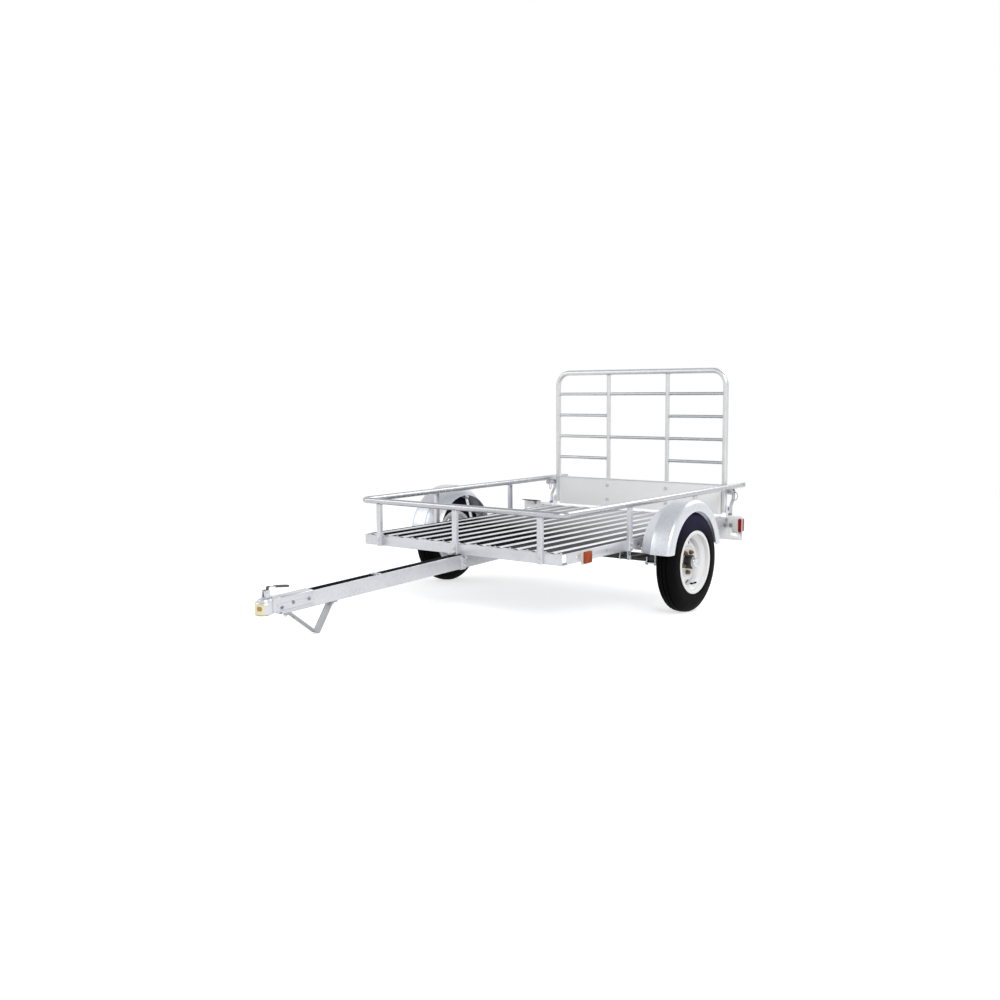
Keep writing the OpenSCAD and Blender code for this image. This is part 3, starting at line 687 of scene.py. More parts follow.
class TRAILER_OT_tyres(Maker, bpy.types.Operator):
    """Tyres with a grooved tread and ringed side walls"""
    bl_idname = "trailer.tyres"
    bl_label = "Tyres"
    drawn_radius, drawn_half_width = 268, 57    # of the section below, in millimetres

    def model(self, sizes):
        wheel = Wheel()
        low, high = level_box("left_tyre")
        grow = (high.z - wheel.centre.z) * 1000 - self.drawn_radius
        wall = (high.y - low.y) * 500 - self.drawn_half_width
        steps = sizes.zigzags * 4
        tyre = turn("tyre", wheel.profile(self.section(sizes, grow, wall)), wheel.centre,
                    steps=steps, closed=True, angle=28)
        self.wander(tyre, wheel, sizes, grow)
        smooth(tyre, 28)
        wheel.pair(tyre, "tyre_casing", "rubber", "tyre")

    def section(self, sizes, grow, wall):
        """Half of the casing's outline, then its mirror image, then the hidden inside."""
        half = [(44, 153), (51, 153), (51, 170.4), (53.4, 171.8), (55.2, 175.5), (55.9, 179.6), (56.9, 180.4),
                (56.9, 183.4), (56.1, 184.4), (56.5, 194), (56.2, 204), (55.2, 214), (53.6, 223),
                (54.0, 223.8), (53.5, 226.4), (52.7, 226.6), (50.8, 233.4), (48.4, 240.2), (45.8, 246.0),
                (43.0, 250.6), (40.4, 254.0), (38.2, 256.6), (36.2, 259.6), (33.6, 261.6)]
        half = [(y + wall * (r > 172), r + grow * (r > 240)) for y, r in half]
        tread = []
        deep = sizes.groove * 1000
        for middle in (21.5, 0.0):
            for side, drop in ((3.6, 0), (2.3, deep), (-2.3, deep), (-3.6, 0)):
                y = middle + side
                tread.append((y, self.drawn_radius + grow - 5.6 * (y / 36) ** 2 - drop))
        near = half + tread
        far = [(-y, r) for y, r in reversed(near) if y > 3.7]
        lining = [(45, 172), (49, 195), (46, 225), (34, 246)]
        inside = [(-y, r) for y, r in lining] + [(0, 254)] + lining[::-1]
        return near + far + inside

    def wander(self, tyre, wheel, sizes, grow):
        """Let the grooves zigzag round the tread."""
        for v in tyre.data.vertices:
            place = v.co - wheel.centre
            radius = math.hypot(place.x, place.z)
            if radius > 0.2565 + grow / 1000 and abs(place.y) < 0.027:
                share = math.atan2(place.z, place.x) / (2 * math.pi) * sizes.zigzags
                v.co.y += sizes.zigzag * math.sin(2 * math.pi * share)


class TRAILER_OT_rims(Maker, bpy.types.Operator):
    """Pressed rims with their discs, vents, valves and nuts"""
    bl_idname = "trailer.rims"
    bl_label = "Rims"
    nut_circle, vent_circle = 57.15, 106    # radii in millimetres
    vent_radius = 0.0105
    face = 1.0

    def model(self, sizes):
        wheel = Wheel()
        half, flange = wheel.half * 1000, wheel.flange * 1000
        seat = [(half, flange - 1.5), (half - 3, flange), (half - 3, 152.4), (31.5, 152.4), (15.5, 128.4)]
        well = [(half, 149.4), (32.5, 149.4), (17.5, 125.4)]
        outer = [(-y, r) for y, r in seat] + seat[::-1] + well + [(-y, r) for y, r in reversed(well)]
        band = turn("band", wheel.profile(eased(outer, 2.4, 3)), wheel.centre, steps=112,
                    closed=True, angle=40)
        front = [(self.face, 38), (self.face, 76), (2.5, 80), (8.5, 86), (10.5, 90), (10.5, 97), (9, 101),
                 (0, 113), (-5, 119), (-9, 122.6), (-17, 124.6), (-17, 125.6)]
        back = [(-20, 125.6), (-20, 122.4), (-10.5, 119.4), (-4, 110), (5.5, 98.5), (6.8, 95.5), (6.8, 91),
                (5.2, 88.2), (-0.8, 82), (-3.0, 77.5), (-3.0, 38)]
        disc = turn("disc", wheel.profile(front + back), wheel.centre, steps=112, closed=True, angle=40)
        ring, vent = self.vent_circle, self.vent_radius
        cutters = [rod("vent", wheel.at(-30, ring, a), wheel.at(30, ring, a), vent, 0) for a in (90, 270)]
        vents = [wheel.at(0, ring, a) for a in (90, 270)]
        cut_away(disc, *cutters)
        smooth(disc, 40)
        # Painted shade: the walls of the two vent holes take the dark hub paint.
        wheel.pair(join("rim", [band, disc]), "rim_and_disc", "white", "rim",
                   [("hub", lambda c, n: min(math.hypot(c.x - v.x, c.z - v.z) for v in vents) < vent + GAP)])
        self.nuts(wheel)
        self.valve(wheel)

    def nuts(self, wheel):
        """Five cone-seated nuts on their studs."""
        nut = round_edges(hexagon("nut", 0.0118, 0.013, 0.0105, 0.0018, 0.0016), 0.0006)
        seat = spun("seat", [(0, 0), (0.009, 0), (0.0125, 0.004), (0.0125, 0.0055), (0, 0.0055)], 28)
        stud = spun("stud", [(0, 0.01), (0.0058, 0.01), (0.0058, 0.0215), (0.0045, 0.0235), (0, 0.0235)], 24)
        nut = join("nut", [nut, seat, stud])
        outwards = along((0, 1, 0))
        places = [Matrix.Translation(wheel.at(self.face, self.nut_circle, 56 + 72 * k)) @ outwards
                  @ Matrix.Rotation(0.4 * k, 4, "Z") for k in range(5)]
        wheel.pair(copies("nuts", nut, places), "wheel_nuts", "nuts")

    def valve(self, wheel):
        """Rubber valve with its cap, out of the rim's well."""
        start, way = wheel.at(14, 126, 258), (wheel.at(34, 119, 258) - wheel.at(14, 126, 258)).normalized()
        lean = Matrix.Translation(start) @ along(way)
        stem = spun("stem", [(0, -0.002), (0.0075, -0.001), (0.007, 0.003), (0.0042, 0.007), (0.0038, 0.024),
                             (0.0048, 0.0245), (0.0048, 0.034), (0.003, 0.0365), (0, 0.0365)], 24)
        stem.data.transform(lean)
        wheel.pair(stem, "valve", "rubber")


class TRAILER_OT_hubs(Maker, bpy.types.Operator):
    """Hubs and their dust caps"""
    bl_idname = "trailer.hubs"
    bl_label = "Hubs"

    def model(self, sizes):
        wheel = Wheel()
        low, high = level_box("left_hub")
        tip = (high.y - wheel.centre.y) * 1000
        back = (low.y - wheel.centre.y) * 1000
        outline = [(back, 18), (back, 35), (back + 2, 37), (-26, 37), (-20, 40), (-14, 44), (-14, 64),
                   (-12.5, 66), (-5.8, 66), (-4.2, 64.5), (-4.2, 39), (-4.2, 37), (30, 37), (34.5, 36.4),
                   (37.5, 34.5), (39, 32), (40, 30), (40, 18)]
        hub = turn("hub", wheel.profile(outline), wheel.centre, steps=64, closed=True, angle=32)
        wheel.pair(hub, "hub_body", "hub", "hub")
        cap = [(37, 0), (37, 28), (41, 28), (41.6, 30.4), (43.2, 30.6), (44, 29.2), (44.4, 27.6),
               (tip - 6, 27.2), (tip - 3.2, 26), (tip - 1.2, 23), (tip - 0.4, 18), (tip - 0.4, 15),
               (tip - 1.8, 13.5), (tip - 1.8, 0)]
        wheel.pair(turn("cap", wheel.profile(cap), wheel.centre, steps=64, angle=40), "dust_cap", "chrome")


def channel(name, path, sweeper, start, travel, thickness, sizes):
    """A folded channel: a path in a plane, swept across or ahead."""
    return sweeper(name, folded(path, thickness, sizes.fold), start, travel, sizes.edge * 0.6)


def u_path(low, high, open_side, thickness):
    """Centre line of a U section between two corners; open_side is "a-", "a+" or "b-"."""
    t = thickness / 2
    a0, b0, a1, b1 = low[0] + t, low[1] + t, high[0] - t, high[1] - t
    if open_side == "a-":
        return [(low[0], b1), (a1, b1), (a1, b0), (low[0], b0)]
    if open_side == "a+":
        return [(high[0], b0), (a0, b0), (a0, b1), (high[0], b1)]
    return [(a1, low[1]), (a1, b1), (a0, b1), (a0, low[1])]


class TRAILER_OT_beams(Maker, bpy.types.Operator):
    """Folded beams and cross members of the bed"""
    bl_idname = "trailer.beams"
    bl_label = "Beams"
    thickness = 0.0025

    def model(self, sizes):
        t = self.thickness
        for node, side in (("front_beam", "a-"), ("rear_beam", "a+")):
            low, high = level_box(node)
            path = u_path((low.x, low.z), (high.x, high.z), side, t)
            beam = channel(node, path, sweep_across, low.y, high.y - low.y, t, sizes)
            settle(beam, "chassis", "steel", [node], [("shade", lambda c, n: n.z < -0.8)])
            rename(beam, node + "_folded")
        low, high = level_box("left_side_beam")
        path = u_path((low.y, low.z), (high.y, high.z), "a-", t)
        beams = both_sides(channel("side_beams", path, sweep_ahead, low.x, high.x - low.x, t, sizes))
        self.punch(beams, low, high)
        settle(beams, "chassis", "steel", ["left_side_beam", "right_side_beam"])
        low, high = level_box("cross_members")
        members = []
        for x in self.member_places():
            path = u_path((x - 0.02, low.z), (x + 0.02, high.z), "b-", t)
            members.append(channel("member", path, sweep_across, low.y, high.y - low.y, t, sizes))
        settle(join("cross_members_folded", members), "chassis", "steel", ["cross_members"])

    def member_places(self):
        """Middles of the three cross members."""
        places = sorted(p.x for p in node_points("cross_members"))
        groups = [[places[0]]]
        for x in places[1:]:
            if x - groups[-1][-1] > 0.05:
                groups.append([])
            groups[-1].append(x)
        return [(group[0] + group[-1]) / 2 for group in groups]

    def punch(self, beams, low, high):
        """Round holes in the outer webs of the side beams."""
        middle = (low.z + high.z) / 2
        radius, reach = 0.006, 0.01
        cutters = [rod("hole", (x, s * (high.y - reach), middle), (x, s * (high.y + reach), middle),
                       radius, 0, 20)
                   for x in (low.x + 0.3, low.x + 0.62, high.x - 0.36, high.x - 0.09) for s in SIDES]
        cut_away(beams, join("holes", cutters))
        smooth(beams)


class TRAILER_OT_floor(Maker, bpy.types.Operator):
    """Three ribbed floor panels and their screws"""
    bl_idname = "trailer.floor"
    bl_label = "Floor"

    def model(self, sizes):
        low, high = level_box("floor_panels")
        sheet, rib = 0.0012, high.z - low.z - 0.0012
        wide = (high.y - low.y - 0.004) / 3
        pitch = wide / 4
        path = [(-wide / 2, 0)]
        for i in range(4):
            middle = (i + 0.5) * pitch - wide / 2
            path += [(middle - 0.015, 0), (middle - 0.007, rib), (middle + 0.007, rib), (middle + 0.015, 0)]
        path.append((wide / 2, 0))
        base = low.z + sheet / 2
        outline = [(a, base + b) for a, b in folded(path, sheet, 0.0018, 2)]
        panels = []
        for k in (-1, 0, 1):
            shifted = [(a + k * (wide + 0.002), b) for a, b in outline]
            panels.append(sweep_ahead("panel", shifted, low.x, high.x - low.x, 0))
        floor = join("floor_panels_pressed", panels)
        top, front, margin = low.z + sheet, high.x, 0.012
        for x in (front - margin, low.x + margin):
            bisect(floor, (x, 0, 0), (1, 0, 0))
        smooth(floor)
        # The flats between the ribs take a painted dark reflection; ribs, front edge and undersides take the
        # rib finish.
        settle(floor, "chassis", "flats", ["floor_panels"],
               [("ribs", lambda c, n: c.z > top + 0.0008 or c.x > front - 0.0125 or n.z < -0.2)])
        flats = [-wide / 2 + i * pitch for i in range(5)]
        places = [Matrix.Translation((x, k * (wide + 0.002) + y, top)) for k in (-1, 0, 1)
                  for y in (flats[0] + 0.016, flats[1], flats[2], flats[3], flats[4] - 0.016)
                  for x in (high.x - 0.022, low.x + 0.022)]
        settle(copies("floor_screws", self.screw(), places), "chassis", "zinc")

    def screw(self):
        """Pan-headed screw."""
        return spun("screw", [(0.0068, 0), *arc((0, -0.004), 0.0078, 30, 84, 5), (0, 0.0038)], 16)


def hex_bolt(sizes, washer=True, stud=0.0):
    """A hexagon bolt's head on its washer, standing on z = 0; a stud stands out of a nut."""
    radius = sizes.bolt / 2
    parts = [round_edges(hexagon("head", radius, 0.0065, 0.0052, radius * 0.13, 0.0009), 0.0004, 1)]
    if washer:
        wide = radius * 1.28
        rim = [(wide, 0), (wide, 0.0016), (wide - 0.0006, 0.002)]
        parts.append(spun("washer", [(0, 0), *rim, (0, 0.002)], 24))
    if stud:
        parts.append(spun("stud", [(0, 0.008), (radius * 0.5, 0.008), (radius * 0.5, 0.008 + stud),
                                   (radius * 0.36, 0.0095 + stud), (0, 0.0095 + stud)], 18))
    return join("bolt", parts)


def bolts_at(places, name, sizes, finish="zinc", body="chassis", **kind):
    """Bolts at some places, settled as one piece."""
    settle(copies(name, hex_bolt(sizes, **kind), places), body, finish)


def facing(place, way, spin=0.0):
    """Matrix that stands a small part at a place, up along a way."""
    return Matrix.Translation(Vector(place)) @ along(way) @ Matrix.Rotation(spin, 4, "Z")


class TRAILER_OT_rails(Maker, bpy.types.Operator):
    """Bent rail tube, flattened at its rear ends, on its posts"""
    bl_idname = "trailer.rails"
    bl_label = "Rails"
    flat = 0.095

    def model(self, sizes):
        low, high = level_box("left_rail")
        front_high = level_box("front_rail")[1]
        z, radius = (low.z + high.z) / 2, (high.z - low.z) / 2
        y = high.y - radius
        x = front_high.x - radius
        bend = x - high.x
        tube_end = low.x + self.flat
        rail = pipe("rail", (low.x, y, z), (1, 0, 0), radius, [
            (self.flat - 0.028, 0, 0), (0.03, 0, 0), (x - bend - tube_end - 0.002, 0, 0),
            ((x - bend, y - bend, z), (0, 0, -1), 90.0), (0, -(y - bend), 0)], 40)
        self.flatten(rail, tube_end, y)
        hole = rod("hole", (low.x + 0.022, y - 0.02, z), (low.x + 0.022, y + 0.02, z), 0.006, 0, 24)
        cut_away(rail, hole)
        only(rail)
        edit_all()
        pick(rail, lambda c, n: abs(c.y) < 0.0005)
        bpy.ops.mesh.delete(type="FACE")
        leave_edit()
        smooth(both_sides(rail, weld=0.0002), 50)
        # The rails take the darker tube as painted shade.
        settle(rail, "chassis", "rail", ["front_rail", "left_rail", "right_rail"])
        rename(rail, "rail_tube")
        self.posts(sizes)

    def flatten(self, rail, tube_end, y):
        """Press the rear end of the tube flat."""
        only(rail)
        edit_all()
        bpy.ops.mesh.select_all(action="DESELECT")
        leave_edit()
        for v in rail.data.vertices:
            v.select = v.co.x < tube_end - 0.02
        bpy.ops.object.mode_set(mode="EDIT")
        bpy.ops.transform.resize(value=(1, 0.34, 1), center_override=(0, y, 0))
        leave_edit()

    def posts(self, sizes):
        """Channel posts, each with two bolts and a weld under the rail."""
        posts, bolts, welds = [], [], []
        thick = 0.002
        low, high = level_box("front_posts")
        out = high.y - 0.015
        for y in (-out, 0, out):
            path = u_path((low.x, y - 0.015), (high.x, y + 0.015), "a-", thick)
            posts.append(sweep("post", [(a, b, low.z) for a, b in folded(path, thick, 0.002)],
                               (0, 0, high.z - low.z), sizes.edge * 0.6))
            bolts += [facing((high.x, y, low.z + h), (1, 0, 0), 0.3 + y) for h in (0.015, 0.04)]
            welds.append(((high.x + low.x) / 2, y, high.z))
        low, high = level_box("left_posts")
        for x in (high.x - 0.015, low.x + 0.015):
            for side in SIDES:
                path = u_path((x - 0.015, low.y), (x + 0.015, high.y), "b-", thick)
                outline = [(a, side * b, low.z) for a, b in folded(path, thick, 0.002)]
                posts.append(sweep("post", outline, (0, 0, high.z - low.z), sizes.edge * 0.6))
                bolts += [facing((x, side * high.y, low.z + h), (0, side, 0), 0.5 + x) for h in (0.015, 0.04)]
                welds.append((x, side * (low.y + high.y) / 2, high.z))
        nodes = ["front_posts", "left_posts", "right_posts"]
        settle(join("rail_posts", posts), "chassis", "steel", nodes)
        bolts_at(bolts, "post_bolts", sizes)
        rings = [(Vector(p), Vector((0, 0, 1)), 0.0125) for p in welds]
        settle(weld_beads("post_welds", rings), "chassis", "zinc")


def weld_beads(name, rings):
    """Uneven fillets of weld round the ends of tubes: (place, axis, radius) each."""
    beads = []
    for number, (place, axis, radius) in enumerate(rings):
        deselect()
        bpy.ops.mesh.primitive_torus_add(major_radius=radius, minor_radius=0.0019, major_segments=28,
                                         minor_segments=8, location=place, rotation=along(axis).to_euler())
        bead = newest("bead")
        edit_all()
        bpy.ops.transform.vertex_random(offset=0.0007, uniform=0.4, normal=0.6, seed=number)
        leave_edit()
        beads.append(smooth(bead, 80))
    return join(name, beads)


class TRAILER_OT_fenders(Maker, bpy.types.Operator):
    """Pressed fenders with a sloping inner band and a rolled hem"""
    bl_idname = "trailer.fenders"
    bl_label = "Fenders"
    metal = 0.0015
    rim = 0.06
    shoulder = 0.024

    def model(self, sizes):
        low, high = level_box("left_fender")
        middle, half = (low.x + high.x) / 2, (high.x - low.x) / 2
        rise = high.z - low.z
        radius = (half * half + rise * rise) / (2 * rise)
        centre = Vector((middle, low.y, high.z - radius))
        wide = high.y - low.y
        cone = wide * 0.43
        ring = radius - self.rim
        profile = [(0.006, ring + 0.0016), (0.0022, ring + 0.0002), (0.0004, ring + 0.0012),
                   (0.0008, ring + 0.004)]
        profile += [(0.003 + (cone - 0.009) * k / 5, ring + 0.0058 + (self.rim - 0.011) * k / 5)
                    for k in range(6)]
        profile += [(cone - 0.003, radius - 0.0024), (cone + 0.0005, radius - 0.0006), (cone + 0.005, radius)]
        profile += [(cone + 0.03, radius), (wide - self.shoulder - 0.02, radius)]
        profile += arc((wide - self.shoulder, radius - self.shoulder), self.shoulder, 90, 0, 8)
        profile += [(wide, ring + 0.006), (wide - 0.0006, ring + 0.0016), (wide - 0.003, ring + 0.0002),
                    (wide - 0.0065, ring + 0.0012)]
        first = math.radians(6)
        points = [centre + Vector((r * math.cos(first), y, r * math.sin(first))) for y, r in profile]
        fender = turn("fenders", points, centre, axis=(0, -1, 0), steps=84, degrees=168, angle=24)
        bisect(fender, (0, 0, low.z + GAP), (0, 0, 1), clear_inner=True)
        self.face_out(fender)
        apply_modifier(fender, "SOLIDIFY", thickness=self.metal, offset=-1.0, use_rim=True)
        smooth(both_sides(fender), 24)
        settle(fender, "chassis", "sheet", ["left_fender", "right_fender"])
        self.bolts(sizes)

    def face_out(self, fender):
        """Turn the sheet over if its band faces the wheel."""
        top = max(fender.data.polygons, key=lambda face: face.center.z)
        if top.normal.z < 0:
            edit_all()
            bpy.ops.mesh.flip_normals()
            leave_edit()

    def bolts(self, sizes):
        """Bolts through the inner bands where the stays hold them."""
        high = level_box("fender_stays")[1]
        places = [facing((high.x - 0.012, s * (high.y - 0.0035), high.z - 0.012), (0, -s, 0)) for s in SIDES]
        bolts_at(places, "fender_bolts", sizes, stud=0.004)


class TRAILER_OT_gate(Maker, bpy.types.Operator):
    """Tube gate with its rungs, welds and lower panel"""
    bl_idname = "trailer.gate"
    bl_label = "Gate"

    def model(self, sizes):
        low, high = level_box("gate_hoop")
        radius = (high.x - low.x) / 2
        x, side, top = (low.x + high.x) / 2, high.y - radius, high.z - radius
        bend = 0.087
        hoop = pipe("gate_frame", (x, side, low.z), (0, 0, 1), radius, [
            (0, 0, top - bend - low.z), ((x, side - bend, top - bend), (1, 0, 0), 90.0),
            (0, -2 * (side - bend), 0), ((x, -side + bend, top - bend), (1, 0, 0), 90.0),
            (0, 0, low.z - top + bend)], 40)
        self.hollow_ends(hoop, low.z)
        settle(hoop, "tailgate", "tube", ["gate_hoop"])
        rungs, welds = self.bars(x, side, radius)
        # Painted shade: the rungs' upper and lower faces take the darker rail tube; the uprights keep the
        # paler tube.
        settle(rungs, "tailgate", "tube", ["gate_uprights", "gate_rungs"],
               [("rail", lambda c, n: abs(n.y) < 0.02 and abs(n.z) > 0.05)])
        settle(weld_beads("gate_welds", welds), "tailgate", "zinc")
        self.panel(sizes)

    def hollow_ends(self, hoop, bottom):
        """Show the wall of the tube at its open lower ends."""
        only(hoop)
        edit_all()
        pick(hoop, lambda c, n: c.z < bottom + 0.0005 and n.z < -0.9)
        bpy.ops.mesh.inset(thickness=0.0018, use_individual=True)
        extrude((0, 0, 0.03))
        leave_edit()
        smooth(hoop, 50)

    def bars(self, x, side, radius):
        """Two uprights, the rungs of three bays, and the places of their welds."""
        low, high = level_box("gate_uprights")
        thick = (high.x - low.x) / 2
        inner = high.y - thick
        bars = [pipe("upright", (x, s * inner, low.z), (0, 0, 1), thick, [(0, 0, high.z - low.z)])
                for s in SIDES]
        welds = [(Vector((x, s * inner, high.z - 0.0005)), Vector((0, 0, 1)), thick) for s in SIDES]
        rung_low, rung_high = level_box("gate_rungs")
        slim = (rung_high.x - rung_low.x) / 2
        first, last = rung_high.z - slim, rung_low.z + slim
        for row in range(4):
            z = first + (last - first) * row / 3
            bays = [(-side + radius, -inner - thick), (inner + thick, side - radius)]
            if row in (0, 2):
                bays.append((-inner + thick, inner - thick))
            for start, end in bays:
                bars.append(pipe("rung", (x, start, z), (0, 1, 0), slim, [(0, end - start, 0)], 24))
                welds += [(Vector((x, start + 0.0004, z)), Vector((0, 1, 0)), slim),
                          (Vector((x, end - 0.0004, z)), Vector((0, 1, 0)), slim)]
        return join("gate_bars", bars), welds

    def panel(self, sizes):
        """Lower sheet with its top edge and ends folded, and the bolts that hold it."""
        low, high = level_box("gate_panel")
        t = 0.0015
        lip = high.x
        face = level_box("gate_uprights")[1].x + GAP
        path = [(lip, high.z - t / 2), (face + t / 2, high.z - t / 2), (face + t / 2, low.z)]
        sheet = channel("sheet", path, sweep_across, low.y, high.y - low.y, t, sizes)
        edges = [sorted((s * high.y, s * (high.y - t))) for s in SIDES]
        ends = [block("end", (low.x, right, low.z), (face + t / 2, left, high.z - 0.002), 0.0004)
                for right, left in edges]
        panel = join("gate_sheet", [sheet] + ends)
        # The sheet takes a near white finish as painted light.
        settle(panel, "tailgate", "panel", ["gate_panel"])
        inner = level_box("gate_uprights")[1].y - 0.0135
        rows = [(s * inner, z) for s in SIDES for z in (high.z - 0.045, low.z + 0.05)]
        places = [facing((face + t, y, z), (1, 0, 0), 0.4) for y, z in rows]
        bolts_at(places, "gate_bolts", sizes, body="tailgate")


class AlongTongue:
    """Places along the tongue: x forward from the tube's front end, z up from the tube's top."""

    def __init__(self):
        corners = node_points("tongue")
        front = max(corners, key=lambda p: p.x)
        rear = max(corners, key=lambda p: p.z)
        self.drop = math.atan2(rear.z - front.z, front.x - rear.x)
        self.length = math.hypot(front.x - rear.x, front.z - rear.z)
        self.half = max(p.y for p in corners)
        bottom = min((p for p in corners if p.x > front.x - 0.01), key=lambda p: p.z)
        self.height = math.hypot(front.x - bottom.x, front.z - bottom.z)
        self.place = Matrix.Translation((front.x, 0, front.z)) @ Matrix.Rotation(self.drop, 4, "Y")
        self.back = self.place.inverted()

    def box(self, node):
        """Lowest and highest corner of a CAD node along the tongue."""
        return level_box(node, self.back @ LEVEL)

    def settle(self, obj, finish, stands_for=(), patches=()):
        """Lay a piece along the tongue, then settle it."""
        obj.data.transform(self.place)
        tests = [(other, lambda c, n, test=test: test(self.back @ c, self.back.to_3x3() @ n))
                 for other, test in patches]
        return settle(obj, "chassis", finish, stands_for, tests)


class TRAILER_OT_tongue(Maker, bpy.types.Operator):
    """Box-tube tongue, its saddle, clip and bolts"""
    bl_idname = "trailer.tongue"
    bl_label = "Tongue"
    sleeve_end = -0.176

    def model(self, sizes):
        line = AlongTongue()
        half, tall, long = line.half, line.height, line.length
        wall = 0.003
        tube = sweep_ahead("tongue_tube", rounded((-half, -tall), (half, 0), 0.006), -long, long, 0)
        bore = rounded((-half + wall, -tall + wall), (half - wall, -wall), 0.004)
        cut_away(tube, *(sweep_ahead("bore", bore, x, 0.1, 0) for x in (-0.08, -long - 0.02)))
        bisect(tube, (self.sleeve_end, 0, 0), (1, 0, 0))
        smooth(tube)
        # Painted reflection: the top face of the tube behind the sleeve takes the dark finish.
        line.settle(tube, "steel", ["tongue"],
                    [("dark", lambda c, n: n.z > 0.55 and c.x < self.sleeve_end and c.z > -0.004)])
        self.saddle(line, sizes)
        clip = [block("clip", (-0.603, -half - 0.0005, -0.012), (-0.588, half + 0.0005, 0.0022), 0.0006)]
        clip.append(block("clip", (-0.577, -half - 0.0005, -0.012), (-0.571, half + 0.0005, 0.0022), 0.0006))
        line.settle(join("wiring_clips", clip), "zinc")

    def saddle(self, line, sizes):
        """U-shaped strap round the tongue under the front beam."""
        low, high = line.box("tongue_saddle")
        half, thick = line.half + GAP, 0.004
        path = [(-half - thick - 0.0299, -thick / 2), (-half - thick / 2, -thick / 2),
                (-half - thick / 2, low.z + thick / 2), (half + thick / 2, low.z + thick / 2),
                (half + thick / 2, -thick / 2), (half + thick + 0.0299, -thick / 2)]
        strap = sweep_ahead("saddle_strap", folded(path, thick, 0.003), low.x, high.x - low.x, 0.0006)
        line.settle(strap, "steel", ["tongue_saddle"])
        middle = (low.x + high.x) / 2
        places = [facing((middle, s * (half + thick + 0.016), -thick), (0, 0, -1), 0.4 * s) for s in SIDES]
        places += [facing((middle, s * (half + thick), -line.height * h), (0, s, 0), h) for s in SIDES
                   for h in (0.25, 0.75)]
        line.settle(copies("saddle_bolts", hex_bolt(sizes, stud=0.006), places), "zinc")


